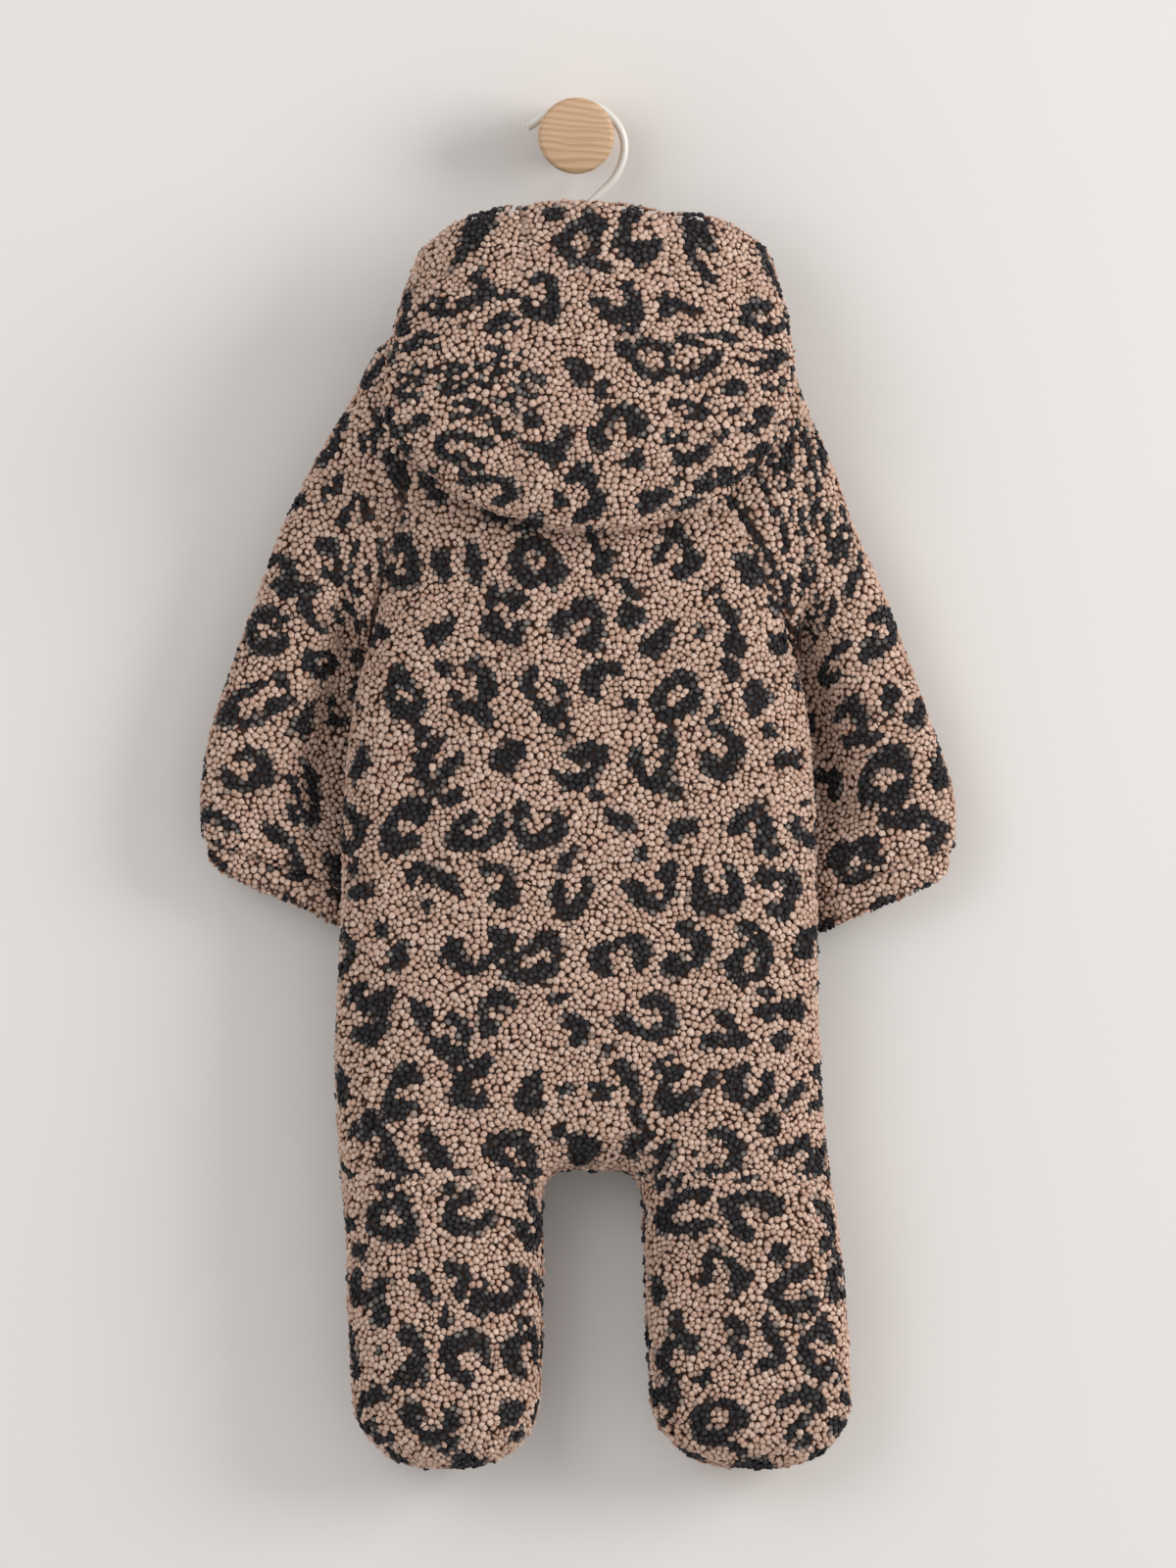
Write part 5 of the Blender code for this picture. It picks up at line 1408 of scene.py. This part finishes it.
def disc(x, radius):
    """Points round a circle across the barrel."""
    turn = np.linspace(0, math.tau, PULL_SIDES, endpoint=False)
    return np.stack([np.full_like(turn, x), radius * np.cos(turn), radius * np.sin(turn)], -1)


half = ZIP_GAP - 2 * SEAM - SLIDER_EAR
tab_z, tab_high = -0.5 * (PULL_LENGTH + 0.5 * MM), 0.5 * (PULL_LENGTH - 0.5 * MM)
slot_z = SLOT_ABOVE_TIP - PULL_LENGTH
loops = np.stack([
    oval(*SLOT_HALVES, slot_z, PULL_FRONT, SLOT_ROUNDNESS),
    oval(half - PULL_EDGE, tab_high - PULL_EDGE, tab_z, PULL_FRONT, TAB_ROUNDNESS),
    oval(half, tab_high, tab_z, PULL_FRONT - PULL_EDGE, TAB_ROUNDNESS),
    oval(half, tab_high, tab_z, PULL_BACK + PULL_EDGE, TAB_ROUNDNESS),
    oval(half - PULL_EDGE, tab_high - PULL_EDGE, tab_z, PULL_BACK, TAB_ROUNDNESS),
    oval(*SLOT_HALVES, slot_z, PULL_BACK, SLOT_ROUNDNESS),
])
# the tab's loops close on themselves through the slot, so its last row of faces ends at the first loop
tab_faces = grid_quads(len(loops) + 1, PULL_SIDES, True) % (len(loops) * PULL_SIDES)
barrel = [
    disc(-half, POINT / 2), disc(-half, PULL_BARREL - PULL_EDGE), disc(PULL_EDGE - half, PULL_BARREL),
    disc(half - PULL_EDGE, PULL_BARREL), disc(half, PULL_BARREL - PULL_EDGE), disc(half, POINT / 2),
]
barrel_faces = grid_quads(len(barrel), PULL_SIDES, True)[:, ::-1] + len(loops) * PULL_SIDES
pull_points = np.vstack([loops.reshape(-1, 3), np.vstack(barrel)]) + (ZIP_X, PULL_Y, -PULL_DROP)
pull = fill_mesh("pull_tab", pull_points, np.vstack([tab_faces, barrel_faces]), nickel.made)
pull.data.set_sharp_from_angle(angle=math.radians(32))
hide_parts("zip_pull")
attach(pull, "zip_pull")

# ---------------------------------------------------------------- wall, light and camera
# A plain pale wall behind the peg, a large soft lamp on the right in front and a weaker one on the left, and
# the view of the photograph: straight on, from far away.

WALL_REACH = 3
WALL_BEHIND = 1 * MM  # the peg's back face
WALL_SHADE, WALL_LIGHT = (0.83, 0.80, 0.775), (0.85, 0.82, 0.795)
LAMP_AIM = (0, 0, -0.35)
# Each lamp's name, place, size, watts and colour
LAMPS = (
    ("key", (2.8, -1.6, 0.45), 1.8, 62, (1.0, 0.985, 0.965)),
    ("fill", (-1.5, -2.5, 0.4), 1.8, 15, (0.97, 0.98, 1.0)),
)
SKY_COLOUR, SKY_STRENGTH = (1, 0.99, 0.98, 1), 0.57
VIEW_HEIGHT = 0.8
VIEW_PLACE = (0.006, -2.0, -0.33075)

# the wall is clear from behind, so that the garment's front can be seen through it
paint = Finish("wall_paint", Roughness=0.9)
paint.feed("Base Color", paint.mix(paint.noise(3), WALL_SHADE, WALL_LIGHT))
from_behind = paint.node("ShaderNodeNewGeometry", {}, {}).outputs["Backfacing"]
clear = paint.node("ShaderNodeBsdfTransparent", {}, {}).outputs[0]
either = paint.node("ShaderNodeMixShader", {}, {0: from_behind, 1: paint.shader.outputs[0], 2: clear})
paint.tree.links.new(either.outputs[0], paint.tree.nodes["Material Output"].inputs[0])
corners = [(-1, -1), (1, -1), (1, 1), (-1, 1)]
wall_points = np.array([(x * WALL_REACH, WALL_BEHIND, z * WALL_REACH) for x, z in corners])
wall = fill_mesh("wall", wall_points, np.array([(0, 1, 2, 3)]), paint.made)

for name, place, size, watts, colour in LAMPS:
    light = bpy.data.lights.new(name, "AREA")
    light.shape, light.size, light.energy, light.color = "DISK", size, watts, colour
    lamp = bpy.data.objects.new(name, light)
    way = Vector(LAMP_AIM) - Vector(place)
    lamp.matrix_world = Matrix.Translation(place) @ way.to_track_quat("-Z", "Y").to_matrix().to_4x4()
    bpy.context.scene.collection.objects.link(lamp)
sky = bpy.data.worlds.new("studio")
sky.use_nodes = True
background = sky.node_tree.nodes["Background"]
background.inputs["Color"].default_value = SKY_COLOUR
background.inputs["Strength"].default_value = SKY_STRENGTH
bpy.context.scene.world = sky

view = bpy.data.cameras.new("camera")
view.type = "ORTHO"
view.ortho_scale = VIEW_HEIGHT
view.clip_end = 20
camera = bpy.data.objects.new("camera", view)
camera.matrix_world = Matrix.Translation(VIEW_PLACE) @ Matrix.Rotation(math.pi / 2, 4, "X")
bpy.context.scene.collection.objects.link(camera)
bpy.context.scene.camera = camera
bpy.context.scene.view_settings.view_transform = "Standard"
